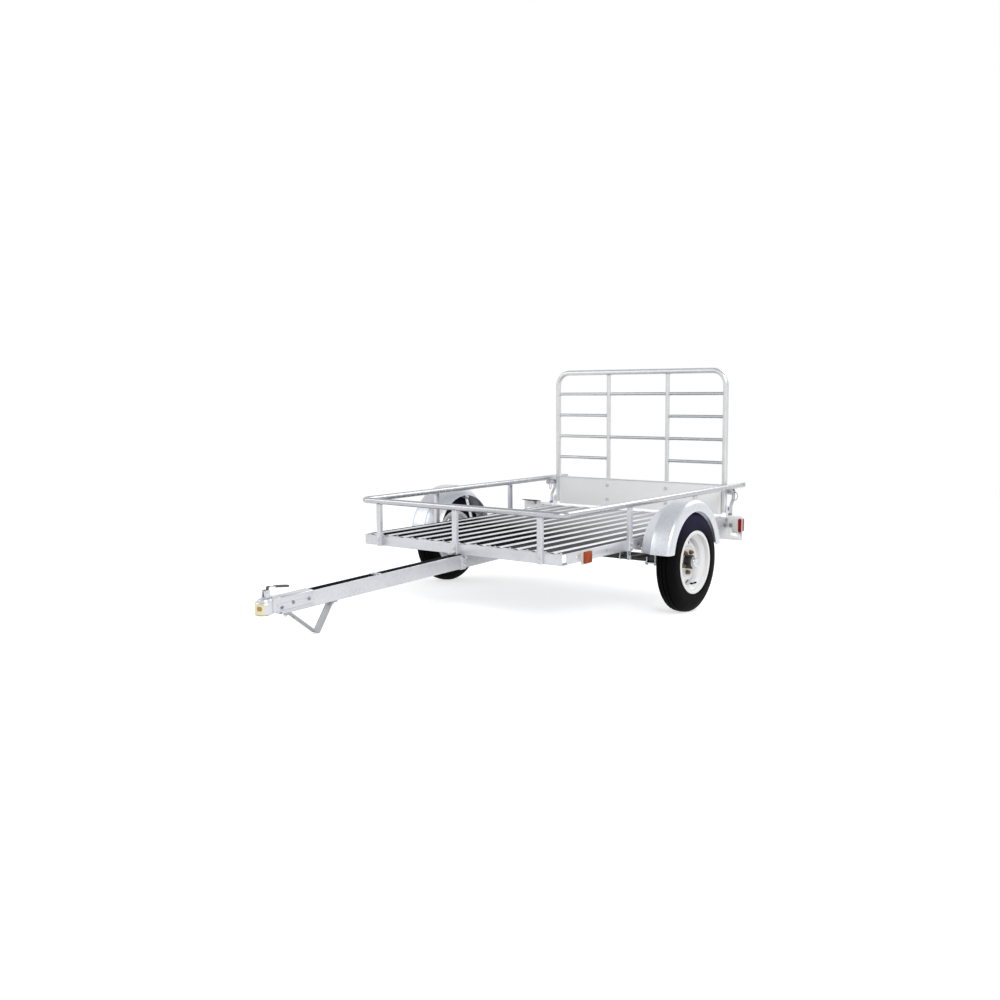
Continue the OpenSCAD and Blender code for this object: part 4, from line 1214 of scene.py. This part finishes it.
class TRAILER_OT_coupler(Maker, bpy.types.Operator):
    """Pressed coupler with its clamp, latch lever and bolts"""
    bl_idname = "trailer.coupler"
    bl_label = "Coupler"
    ball = 0.07                     # ahead of the tube's front end
    low, top = -0.062, 0.0062       # heights of the pressing's edges over the tube's top
    socket_inner, socket_outer = 0.0258, 0.0337
    clamp_inner, clamp_outer = 0.0341, 0.0427
    clamp_half_angle = 72
    bolt_scale = 0.72
    bolt_places = ((-0.148, -0.032), (-0.058, -0.031), (0.004, -0.041))
    patch_y, patch_radius = 0.012, 0.012

    def model(self, sizes):
        line = AlongTongue()
        side = line.half + 0.0035
        self.body(line, side, sizes)
        self.nose(line)
        self.latch(line)

    def body(self, line, side, sizes):
        """Folded sleeve, with a pressed rib down each side and a lip along its lower edge."""
        rear = -0.175
        t = 0.0032
        roof = 0.0003 + t
        path = [(-side + t / 2, self.low), (-side + t / 2, roof - t / 2), (side - t / 2, roof - t / 2),
                (side - t / 2, self.low)]
        sleeve = sweep_ahead("sleeve", folded(path, t, 0.0045), rear, -rear + 0.012, 0.0006)
        ribs, lips = [], []
        for s in SIDES:
            inside = s * side - 0.001
            ribs.append(block("rib", (rear + 0.018, inside, -0.040),
                              (0.028, s * side + 0.0022, -0.024), 0.0019))
            lips.append(block("lip", (rear + 0.006, inside, self.low),
                              (0.03, s * side + 0.004, self.low + 0.006), 0.0014))
        outer, inner = self.socket_outer, self.socket_inner
        shell = [(0, self.top - 0.0004), (outer - 0.012, self.top - 0.0004),
                 (outer - 0.005, self.top - 0.003), (outer - 0.0012, self.top - 0.009),
                 (outer, self.top - 0.018), (outer, self.low + 0.006),
                 (outer - 0.001, self.low + 0.001), (outer - 0.003, self.low), (inner, self.low),
                 (inner, -0.034), (inner * 0.86, -0.024), (inner * 0.5, -0.0175), (0, -0.0165)]
        dome = turn("dome", [(self.ball + r, 0, z) for r, z in shell], (self.ball, 0, 0), axis=(0, 0, 1),
                    steps=56, angle=30)
        neck = self.neck(side, outer)
        body = join("coupler_pressing", [sleeve, dome, neck] + ribs + lips)
        line.settle(body, "zinc", ["coupler_body"])
        small = Matrix.Scale(self.bolt_scale, 4)
        places = [facing((x, s * (side + 0.0006), z), (0, s, 0), x * 40) @ small
                  for s in SIDES for x, z in self.bolt_places]
        line.settle(copies("coupler_bolts", hex_bolt(sizes, stud=0.003), places), "dull")

    def neck(self, side, outer):
        """Block that narrows from the sleeve to the round of the ball socket."""
        neck = block("neck", (0.006, -side, self.low + 0.001), (self.ball - 0.02, side, self.top - 0.001), 0)
        only(neck)
        edit_all()
        bpy.ops.mesh.subdivide(number_cuts=3)
        pick(neck, lambda c, n: n.x > 0.9)
        bpy.ops.transform.resize(value=(1, (outer - 0.003) / side, 0.92),
                                 center_override=(0, 0, self.low / 2))
        leave_edit()
        return round_edges(neck, 0.004, 3, 50)

    def nose(self, line):
        """Clamp that closes round the front of the ball, with a rolled lip below."""
        inner, outer = self.clamp_inner, self.clamp_outer
        first = math.radians(-self.clamp_half_angle)
        patch_z = (self.low - 0.009) / 2 + 0.005
        bottom = self.low + 0.007
        band = [(inner, self.low + 0.004), (outer - 0.002, self.low + 0.004), (outer, bottom),
                *((outer, bottom + step * (-0.023 - self.low) / 8) for step in range(1, 8)),
                (outer, -0.016), (outer - 0.003, -0.0085), (outer - 0.006, -0.0062), (inner, -0.0062)]
        lip = [(inner, self.low + 0.0002), (outer - 0.0005, self.low + 0.0002), (outer, self.low + 0.0025),
               (outer - 0.0022, self.low + 0.0038), (inner, self.low + 0.0038)]

        def plated(c, n):
            return abs(c.y) > 0.031 or c.z > -0.012

        # A darker yellow round patch on the front of the clamp.
        def darker_round_patch(c, n):
            return math.hypot(c.y - self.patch_y, c.z - patch_z) < self.patch_radius

        for name, outline, stands_for in (("clamp_nose", band, ["coupler_clamp"]), ("clamp_lip", lip, ())):
            points = [(self.ball + r * math.cos(first), r * math.sin(first), z) for r, z in outline]
            piece = turn(name, points, (self.ball, 0, 0), axis=(0, 0, 1), steps=56, closed=True,
                         degrees=2 * self.clamp_half_angle, angle=32)
            line.settle(self.close_ends(piece), "straw", stands_for, [("zinc", plated), ("yellow", darker_round_patch)])

    def close_ends(self, piece):
        """Fill the open ends of a part-turned piece."""
        only(piece)
        bpy.ops.object.mode_set(mode="EDIT")
        bpy.ops.mesh.select_all(action="DESELECT")
        bpy.ops.mesh.select_non_manifold()
        bpy.ops.mesh.edge_face_add()
        close_up()
        return smooth(piece, 32)

    def latch(self, line):
        """Lever standing between two ears, with a handle reaching back over the sleeve."""
        base = self.top + GAP
        x = self.ball - 0.006
        parts = [block("plate", (x - 0.026, -0.013, base), (x + 0.014, 0.013, base + 0.004), 0.0012)]
        ear = eased([(x - 0.016, base + 0.002), (x + 0.012, base + 0.002), (x + 0.008, base + 0.034),
                     (x - 0.012, base + 0.034)], 0.005, 3)
        for s in SIDES:
            parts.append(sweep_across("ear", ear, s * 0.0125 - 0.0015, 0.003, 0.0005))
        line.settle(join("latch_ears", parts), "zinc", ["coupler_latch"])
        top = base + 0.046
        upright = x - 0.012
        path = [(upright, base + 0.006), (upright, top), (x - 0.05, top - 0.005), (x - 0.118, top - 0.015)]
        bar = sweep_across("lever", folded(path, 0.0052, 0.004), -0.0086, 0.0172, 0.0012)
        grip = block("grip", (-0.04, -0.0098, -0.0048), (0.036, 0.0098, 0.0048), 0.0032)
        grip.data.transform(Matrix.Translation((x - 0.084, 0, top - 0.01)) @ Matrix.Rotation(-0.146, 4, "Y"))
        line.settle(join("latch_lever", [bar, grip]), "lever", (),
                    [("zinc", lambda c, n: x - 0.046 < c.x < x - 0.022)])
        pins = [rod("pin", (x, -0.0165, base + 0.022), (x, 0.0165, base + 0.022), 0.004, 0.0008, 24),
                rod("spring", (x + 0.002, 0, base + 0.004), (x + 0.002, 0, base + 0.03), 0.0052, 0.001, 24)]
        line.settle(join("latch_pins", pins), "chrome")


class TRAILER_OT_stand(Maker, bpy.types.Operator):
    """V-shaped stand, bent from one flat bar"""
    bl_idname = "trailer.stand"
    bl_label = "Stand"
    foot_x, front_bend, rear_bend, flange = -0.206, -0.052, -0.297, 0.0275

    def model(self, sizes):
        line = AlongTongue()
        t = 0.006
        z = -line.height - GAP - t / 2
        low = line.box("tongue_stand")[0].z
        foot = (self.foot_x, low + t / 2 - 0.0004)
        path = [(self.front_bend + self.flange, z), (self.front_bend, z), foot, (self.rear_bend, z),
                (self.rear_bend - self.flange, z)]
        bar = sweep_across("stand_bar", folded(path, t, 0.0045, 5), -0.02, 0.04, 0.0009)
        cut_away(bar, rod("hole", (-0.079, 0, z - 0.06), (-0.079, 0, z + 0.02), 0.0065, 0, 24))
        smooth(bar)
        # The bar takes a darker copy of the steel as painted shade.
        line.settle(bar, "stand", ["tongue_stand"])
        places = [facing((x, 0, z - t / 2), (0, 0, -1), x * 9) for x in (-0.0375, -0.311)]
        line.settle(copies("stand_bolts", hex_bolt(sizes, stud=0.004), places), "zinc")


class TRAILER_OT_rear(Maker, bpy.types.Operator):
    """Rear corner plates, lamps, number plate bracket, stays and latches"""
    bl_idname = "trailer.rear"
    bl_label = "Rear corners"

    def model(self, sizes):
        self.plates(sizes)
        self.lamps()
        self.plate_hood(sizes)
        self.stays(sizes)
        self.latches(sizes)

    def plates(self, sizes):
        """Corner plates with a folded top, the ears of the gate pivots, and their bolts."""
        low, high = level_box("left_rear_bracket")
        lamp_low, lamp_high = level_box("tail_lamps")
        beam_high = level_box("left_side_beam")[1]
        t = 0.003
        x = level_box("rear_beam")[0].x - GAP - t
        top = level_box("number_plate_bracket")[1].z - 0.012
        path = [(x + t / 2, low.z), (x + t / 2, top - t / 2), (x - 0.024, top - t / 2)]
        outer = channel("corner", path, sweep_across, beam_high.y, high.y - beam_high.y, t, sizes)
        inner = block("corner", (x, low.y, low.z), (x + t, beam_high.y + 0.001, beam_high.z), 0.0006)
        half, middle = (lamp_high.z - lamp_low.z) / 2, (lamp_high.z + lamp_low.z) / 2
        out = high.y - 0.025
        window = block("window", (x - 0.01, out - 0.0375, middle - half - 0.0005),
                       (x + 0.01, out + 0.0195, middle + half + 0.0005), 0)
        plate = join("corner", [cut_away(outer, window), inner])
        gate = (level_box("gate_hoop")[0] + level_box("gate_hoop")[1]).x / 2
        ear_y = level_box("gate_hoop")[1].y + 0.006
        pivot = high.z - 0.018
        foot = beam_high.z - 0.045
        ear = eased([(gate - 0.018, foot), (x + 0.001, foot), (x + 0.001, pivot), (gate + 0.012, high.z),
                     (gate - 0.012, high.z), (gate - 0.018, pivot)], 0.01, 4)
        plate = join("corner_plates", [plate, sweep_across("ear", ear, ear_y, 0.006, 0.0006)])
        # The plates take a paler copy of the steel as painted light.
        settle(both_sides(plate), "chassis", "bright", ["left_rear_bracket", "right_rear_bracket"])
        heads, pins = [], []
        for s in SIDES:
            heads.append(facing((x + t + 0.0001, s * (beam_high.y + 0.018), middle - 0.004), (1, 0, 0), 0.7))
            heads.append(facing((x + 0.05, s * (beam_high.y + 0.0003), middle), (0, s, 0), 0.2))
            heads += [facing((x, s * (beam_high.y - d), middle), (-1, 0, 0), d) for d in (0.02, 0.055)]
            heads.append(facing((gate, s * (ear_y + 0.006), pivot), (0, s, 0), 0.2))
            pins.append(rod("pin", (gate, s * (ear_y - 0.024), pivot), (gate, s * (ear_y + 0.008), pivot),
                            0.0058, 0.001, 24))
        bolts_at(heads, "corner_bolts", sizes, "dull", stud=0.003)
        settle(join("pivot_pins", pins), "chassis", "zinc")

    def lamps(self):
        """Tail lamps: a pale housing and a red lens with rounded corners on each side."""
        low, high = level_box("tail_lamps")
        out = high.y - 0.019
        middle, half = (low.z + high.z) / 2, (high.z - low.z) / 2
        shape = rounded((out - 0.001, middle - half), (out + 0.019, middle + half), 0.005)
        waist = level_box("rear_beam")[0].x
        lens = sweep_ahead("lens", shape, low.x, high.x - low.x - 0.003, 0.0022)
        ribs = [block("rib", (low.x + 0.004, high.y - 0.0006, middle + k * 0.012 - 0.0035),
                      (waist - 0.012, high.y, middle + k * 0.012 + 0.0035), 0.0005) for k in range(-2, 3)]
        settle(both_sides(join("lamp_lenses", [lens] + ribs)), "chassis", "red", ["tail_lamps"],
               [("pale", lambda c, n: c.y < 0 and n.x > 0.5)])
        wide = rounded((out - 0.037, middle - half + 0.001), (out - 0.001, middle + half - 0.001), 0.004)
        base = sweep_ahead("base", wide, waist - 0.008, high.x - waist + 0.008, 0.0012)
        settle(both_sides(rename(base, "lamp_housings")), "chassis", "pale")

    def plate_hood(self, sizes):
        """Bracket for the number plate, with a hood over its lamp; the hood's top carries a painted dark
        reflection.
        """
        low, high = level_box("number_plate_bracket")
        t = 0.0028
        path = [(low.x + 0.002, low.z), (low.x + 0.002, high.z - t / 2), (high.x, high.z - t / 2)]
        hood = channel("plate_bracket", path, sweep_across, low.y, high.y - low.y, t, sizes)
        slots = [block("slot", (low.x - 0.01, y - 0.012, low.z + 0.012),
                       (low.x + 0.01, y + 0.012, low.z + 0.019), 0.002)
                 for y in (low.y + 0.035, high.y - 0.03)]
        cut_away(hood, *slots)
        smooth(hood)
        # Painted reflection: the top faces of the hood take the dark finish.
        settle(hood, "chassis", "steel", ["number_plate_bracket"],
               [("dark", lambda c, n: c.z > high.z - 0.006)])
        middle = (low.y + high.y) / 2
        lamp = block("plate_lamp", (low.x + 0.005, middle - 0.028, high.z - 0.03),
                     (high.x - 0.006, middle + 0.028, high.z - t - 0.0004), 0.003)
        settle(lamp, "chassis", "pale")

    def stays(self, sizes):
        """Flat bars with a double bend, under the rear ends of the rails."""
        low, high = level_box("rear_stays")
        t = 0.004
        step = (low.z + high.z) / 2
        y = level_box("left_rail")[1].y - 0.016
        foot = [(high.x, low.z + t / 2), (high.x - 0.014, low.z + t / 2)]
        path = foot + [(high.x - 0.014, step - 0.022), (low.x + t / 2, step + 0.022), (low.x + t / 2, high.z)]
        bar = sweep_across("rear_stay", folded(path, t, 0.004, 4), y - 0.011, 0.022, 0.0007)
        settle(both_sides(rename(bar, "rear_stay_bars")), "chassis", "steel", ["rear_stays"])
        places = [facing((high.x - 0.005, s * y, low.z + t), (0, 0, 1), 0.3) for s in SIDES]
        places += [facing((low.x + t + 0.0001, s * y, high.z - 0.014), (1, 0, 0), 0.3) for s in SIDES]
        bolts_at(places, "stay_bolts", sizes, "dull")

    def latches(self, sizes):
        """Spring pins on tabs under the rails, each drawn by an oval ring."""
        low, high = level_box("gate_latches")
        y = level_box("left_rail")[1].y - 0.016
        x = low.x + 0.014
        z = low.z + 0.016
        outline = eased([(low.x, low.z + 0.006), (low.x + 0.02, low.z), (high.x, low.z + 0.008),
                         (high.x, high.z), (low.x, high.z)], 0.006, 3)
        tab = sweep_across("tab", outline, y - 0.0015, 0.003, 0.0005)
        tip = level_box("gate_hoop")[1].y + 0.006
        pin = rod("pin", (x, tip, z), (x, y + 0.024, z), 0.005, 0.001, 24)
        sleeve = rod("sleeve", (x, y - 0.016, z), (x, y + 0.014, z), 0.0086, 0.001, 28)
        settle(both_sides(join("latch_tabs", [tab, sleeve])), "chassis", "zinc", ["gate_latches"])
        ring = self.ring((x, y + 0.02, z))
        settle(both_sides(join("latch_rings", [pin, ring])), "chassis", "dull")
        places = [facing((x + d, s * (y + 0.0015), z + 0.006), (0, s, 0), d)
                  for d in (0.034, 0.056) for s in SIDES]
        bolts_at(places, "latch_bolts", sizes, "dull", washer=False)

    def ring(self, place):
        """Oval ring of round wire, hanging from the pin."""
        deselect()
        x, y, z = place
        bpy.ops.mesh.primitive_torus_add(major_radius=0.017, minor_radius=0.0019, major_segments=48,
                                         minor_segments=12, location=(x, y, z - 0.022),
                                         rotation=(0, math.radians(90), math.radians(35)))
        ring = newest("ring")
        edit_all()
        bpy.ops.transform.resize(value=(1, 1, 1.45), center_override=(x, y, z - 0.022))
        leave_edit()
        return smooth(ring, 60)


class TRAILER_OT_markers(Maker, bpy.types.Operator):
    """Amber side markers on pale bases"""
    bl_idname = "trailer.markers"
    bl_label = "Side markers"

    def model(self, sizes):
        low, high = level_box("side_markers")
        beam = level_box("left_side_beam")[1].y + GAP
        shape = rounded((low.x, low.z), (high.x, high.z), 0.006)
        small = rounded((low.x + 0.006, low.z + 0.005), (high.x - 0.006, high.z - 0.005), 0.005)
        base = sweep_across("marker_bases", shape, beam, 0.009, 0.0012)
        lens = sweep_across("marker_lenses", small, beam + 0.0085, high.y - beam - 0.0085, 0.0035)
        settle(both_sides(base), "chassis", "pale")
        settle(both_sides(lens), "chassis", "amber", ["side_markers"])


class TRAILER_OT_axle(Maker, bpy.types.Operator):
    """Axle beam, leaf springs, hangers and U-bolts"""
    bl_idname = "trailer.axle"
    bl_label = "Axle and springs"
    eye_reach = 0.3     # from the axle to the spring eyes

    def model(self, sizes):
        low, high = level_box("axle")
        centre = Wheel().centre
        half, z = (high.x - low.x) / 2, centre.z
        y = level_box("left_side_beam")[1].y - 0.02
        reach = level_box("left_hub")[0].y - 0.018
        section = rounded((-half, z - half), (half, z + half), 0.005)
        beam = sweep_across("beam", section, -reach, 2 * reach, 0.0008)
        spindles = [rod("spindle", (0, s * (reach - 0.004), z), (0, s * high.y, z), 0.0127, 0.0012, 40)
                    for s in SIDES]
        collars = [rod("collar", (0, s * reach, z), (0, s * (reach + 0.006), z), 0.0185, 0.0012, 40)
                   for s in SIDES]
        settle(join("axle_beam", [beam] + spindles + collars), "chassis", "black", ["axle"])
        self.springs(y, z + half)
        self.hangers(y, sizes)
        self.clamps(y, z, half, sizes)

    def springs(self, y, seat):
        """Two bowed leaves, the upper one rolled into an eye at both ends."""
        t, wide, long, rise = 0.007, 0.04, self.eye_reach, 0.012
        leaves = []
        for reach, start in ((0.19, seat + GAP + t / 2), (long - 0.004, seat + GAP + t * 1.5)):
            stops = [reach * (k / 10 - 1) for k in range(21)]
            path = [(stop, start + rise * (stop / long) ** 2) for stop in stops]
            leaves.append(sweep_across("leaf", folded(path, t * 0.97, 0.001, 1), y - wide / 2, wide, 0.0008))
        eye_z = seat + GAP + t + rise + t - 0.001
        for s in SIDES:
            eye = turn("eye", [(s * long, y + a, eye_z + r) for a, r in
                               ((-0.02, 0.0058), (-0.02, 0.0118), (0.02, 0.0118), (0.02, 0.0058))],
                       (s * long, y, eye_z), axis=(0, 1, 0), steps=32, closed=True)
            leaves.append(eye)
        settle(both_sides(join("spring_leaves", leaves)), "chassis", "black", ["leaf_springs"])

    def hangers(self, y, sizes):
        """Folded hangers with the bolts of the spring eyes."""
        low, high = level_box("spring_hangers")
        t, eye = 0.003, low.z + 0.014
        parts, bolts = [], []
        for s in SIDES:
            top = high.z - t / 2
            path = [(y - 0.0225, low.z), (y - 0.0225, top), (y + 0.0225, top), (y + 0.0225, low.z)]
            parts.append(sweep_ahead("hanger", folded(path, t, 0.002),
                                     s * self.eye_reach - 0.016, 0.032, 0.0006))
            bolts += [facing((s * self.eye_reach, side * (y + e * 0.024), eye), (0, side * e, 0), 0.4)
                      for e in SIDES for side in SIDES]
        settle(both_sides(join("hangers", parts)), "chassis", "zinc", ["spring_hangers"])
        bolts_at(bolts, "eye_bolts", sizes, washer=False)

    def clamps(self, y, z, half, sizes):
        """U-bolts over each spring, with a plate and nuts under the axle."""
        low, high = level_box("axle_clamps")
        top = high.z - 0.0015
        apart, across, bend, drop = half + 0.007, 0.026, 0.0105, 0.0155
        parts = [block("plate", (-half - 0.016, y - 0.035, z - half - 0.0062),
                       (half + 0.016, y + 0.035, z - half - GAP), 0.001),
                 block("pad", (-half - 0.014, y - 0.033, top - 0.013),
                       (half + 0.014, y + 0.033, top - 0.0075), 0.001)]
        for s in SIDES:
            bar = pipe("u_bolt", (s * apart, y - across, low.z), (0, 0, 1), 0.0048, [
                (0, 0, top - drop - low.z),
                ((s * apart, y - across + bend, top - drop), (-1, 0, 0), 90.0),
                (0, 2 * across - 2 * bend, 0),
                ((s * apart, y + across - bend, top - drop), (-1, 0, 0), 90.0),
                (0, 0, low.z - top + drop)], 20)
            parts.append(bar)
        settle(both_sides(join("u_bolts", parts)), "chassis", "zinc", ["axle_clamps"])
        places = [facing((s * apart, side * (y + e * across), z - half - 0.0062), (0, 0, -1), 0.2)
                  for s in SIDES for e in SIDES for side in SIDES]
        bolts_at(places, "u_bolt_nuts", sizes, washer=False)


class TRAILER_OT_fender_arms(Maker, bpy.types.Operator):
    """Brackets and stays that carry the fenders"""
    bl_idname = "trailer.fender_arms"
    bl_label = "Fender arms"

    def model(self, sizes):
        low, high = level_box("fender_brackets")
        beam = level_box("left_side_beam")[1]
        arm = high.x - 0.015
        z = level_box("left_fender")[0].z + 0.012
        t = 0.003
        parts, bolts = [], []
        for s in SIDES:
            plate = rounded((s * arm - 0.045, beam.z - 0.053), (s * arm + 0.015, beam.z), 0.006, 3)
            parts.append(sweep_across("plate", plate, beam.y + GAP, t, 0.0005))
            path = [(beam.y + t + 0.0015, z + 0.022), (beam.y + t + 0.0015, z), (high.y, z)]
            parts.append(sweep_ahead("arm", folded(path, t, 0.003), s * arm - 0.014, 0.028, 0.0006))
            bolts += [facing((s * arm - 0.028, side * (beam.y + t), beam.z - 0.027), (0, side, 0), 0.3)
                      for side in SIDES]
            bolts += [facing((s * arm, side * (high.y - 0.014), z + t / 2), (0, 0, 1), 0.3) for side in SIDES]
        settle(both_sides(join("fender_plates", parts)), "chassis", "steel", ["fender_brackets"])
        bolts_at(bolts, "bracket_bolts", sizes, "dull")
        low, high = level_box("fender_stays")
        foot_y, head_y = beam.y + 0.0017, high.y - 0.0015
        path = [(foot_y, beam.z - 0.044), (foot_y, beam.z - 0.008),
                (head_y, high.z - 0.028), (head_y, high.z)]
        stay = sweep_ahead("stay", folded(path, t, 0.004), low.x, high.x - low.x, 0.0006)
        settle(both_sides(rename(stay, "fender_stay_bars")), "chassis", "steel", ["fender_stays"])


class TRAILER_OT_stage(Maker, bpy.types.Operator):
    """Floor, soft studio light and camera"""
    bl_idname = "trailer.stage"
    bl_label = "Stage"
    eye = (5.0079, 3.427, 1.1726)
    aim = (217.535, -5.864, -0.353)     # heading, tilt and roll in degrees
    lens = 38.025

    def model(self, sizes):
        deselect()
        bpy.ops.mesh.primitive_plane_add(size=40)
        floor = newest("studio_floor")
        edit_all()
        bpy.ops.mesh.subdivide(number_cuts=3)
        leave_edit()
        floor.data.materials.append(self.floor_finish())
        self.light()
        self.aim_camera()

    def floor_finish(self):
        """Pale floor: it keeps the shadow, and a share of plain white is seen by camera and metal."""
        f = Finish("studio floor", Roughness=0.9, Specular_IOR_Level=0.1)
        f.set("Base Color", f.ramp(f.noise(0.6, 2), (0.3, (0.62, 0.62, 0.625)), (0.7, (0.64, 0.64, 0.64))))
        share = f.node("Math", {0: f.seen(), 1: 0.62}, operation="MULTIPLY").outputs[0]
        glow = f.node("Emission", {"Color": (1, 1, 1, 1), "Strength": share})
        both = f.node("AddShader", {0: f.shader.outputs[0], 1: glow.outputs[0]})
        f.tree.links.new(both.outputs[0], f.tree.nodes["Material Output"].inputs["Surface"])
        return f.material

    def light(self):
        """A white backdrop, a dimmer sky that lights the scene, and three lamps."""
        world = bpy.data.worlds.new("studio")
        bpy.context.scene.world = world
        sky = Nodes(world)
        way = sky.node("TexCoord", {}).outputs["Generated"]
        height = sky.node("SeparateXYZ", {0: way}).outputs["Z"]
        dome = sky.ramp(height, (0.42, (1, 1, 1)), (0.8, (0.42, 0.43, 0.45)))
        mixed = sky.node("Mix", {"Factor": sky.seen(), 6: (0.62, 0.62, 0.63, 1), 7: dome}, data_type="RGBA")
        sky.tree.links.new(mixed.outputs[2], sky.tree.nodes["Background"].inputs["Color"])
        for name, place, size, watts in (("key_light", (3.5, 4.5, 4.5), 3.0, 190),
                                         ("fill_light", (4.0, -4.5, 3.5), 3.0, 55),
                                         ("back_light", (-4.5, 1.5, 4.0), 3.0, 90)):
            deselect()
            bpy.ops.object.light_add(type="AREA", location=place)
            lamp = bpy.context.object
            lamp.name = lamp.data.name = name
            lamp.data.size = size
            lamp.data.energy = watts
            lamp.rotation_euler = (Vector((-0.2, 0, 0.4)) - Vector(place)).to_track_quat("-Z", "Y").to_euler()

    def aim_camera(self):
        """Camera in front of the near corner, level with the fenders."""
        scene = bpy.context.scene
        heading, tilt, roll = (math.radians(a) for a in self.aim)
        level = Vector((math.cos(heading), math.sin(heading), 0))
        ahead = level * math.cos(tilt) + Vector((0, 0, math.sin(tilt)))
        right = ahead.cross(Vector((0, 0, 1))).normalized()
        up = right.cross(ahead)
        side = right * math.cos(roll) + up * math.sin(roll)
        top = up * math.cos(roll) - right * math.sin(roll)
        turned = Matrix((side, top, -ahead)).transposed().to_4x4()
        deselect()
        bpy.ops.object.camera_add()
        camera = bpy.context.object
        camera.name = camera.data.name = "camera"
        camera.matrix_world = PARKED @ Matrix.Translation(self.eye) @ turned
        camera.data.lens = self.lens
        camera.data.sensor_width = 36.0
        camera.data.clip_end = 200
        scene.camera = camera
        scene.view_settings.view_transform = "Standard"


class TRAILER_PT_pieces(bpy.types.Panel):
    """The trailer's sizes, colours and pieces"""
    bl_idname = "TRAILER_PT_pieces"
    bl_label = "Utility Trailer"
    bl_space_type = "VIEW_3D"
    bl_region_type = "UI"
    bl_category = "Trailer"

    def draw(self, context):
        for group in (context.scene.trailer_sizes, context.scene.trailer_colours):
            box = self.layout.box()
            for key in group.__annotations__:
                box.prop(group, key)
        for maker in MAKERS:
            self.layout.operator(maker.bl_idname)


MAKERS = (TRAILER_OT_tyres, TRAILER_OT_rims, TRAILER_OT_hubs, TRAILER_OT_beams, TRAILER_OT_floor,
          TRAILER_OT_rails, TRAILER_OT_fenders, TRAILER_OT_gate, TRAILER_OT_tongue, TRAILER_OT_coupler,
          TRAILER_OT_stand, TRAILER_OT_rear, TRAILER_OT_markers, TRAILER_OT_axle,
          TRAILER_OT_fender_arms, TRAILER_OT_stage)
CLASSES = (TrailerColours, TrailerSizes, *MAKERS, TRAILER_PT_pieces)


def register():
    for cls in CLASSES:
        bpy.utils.register_class(cls)
    bpy.types.Scene.trailer_colours = PointerProperty(type=TrailerColours)
    bpy.types.Scene.trailer_sizes = PointerProperty(type=TrailerSizes)


def unregister():
    del bpy.types.Scene.trailer_sizes
    del bpy.types.Scene.trailer_colours
    for cls in reversed(CLASSES):
        bpy.utils.unregister_class(cls)


def main():
    register()
    make_finishes(bpy.context.scene.trailer_colours)
    for maker in MAKERS:
        getattr(bpy.ops.trailer, maker.bl_idname.split(".")[1])()
    deselect()


if __name__ == "__main__":
    main()
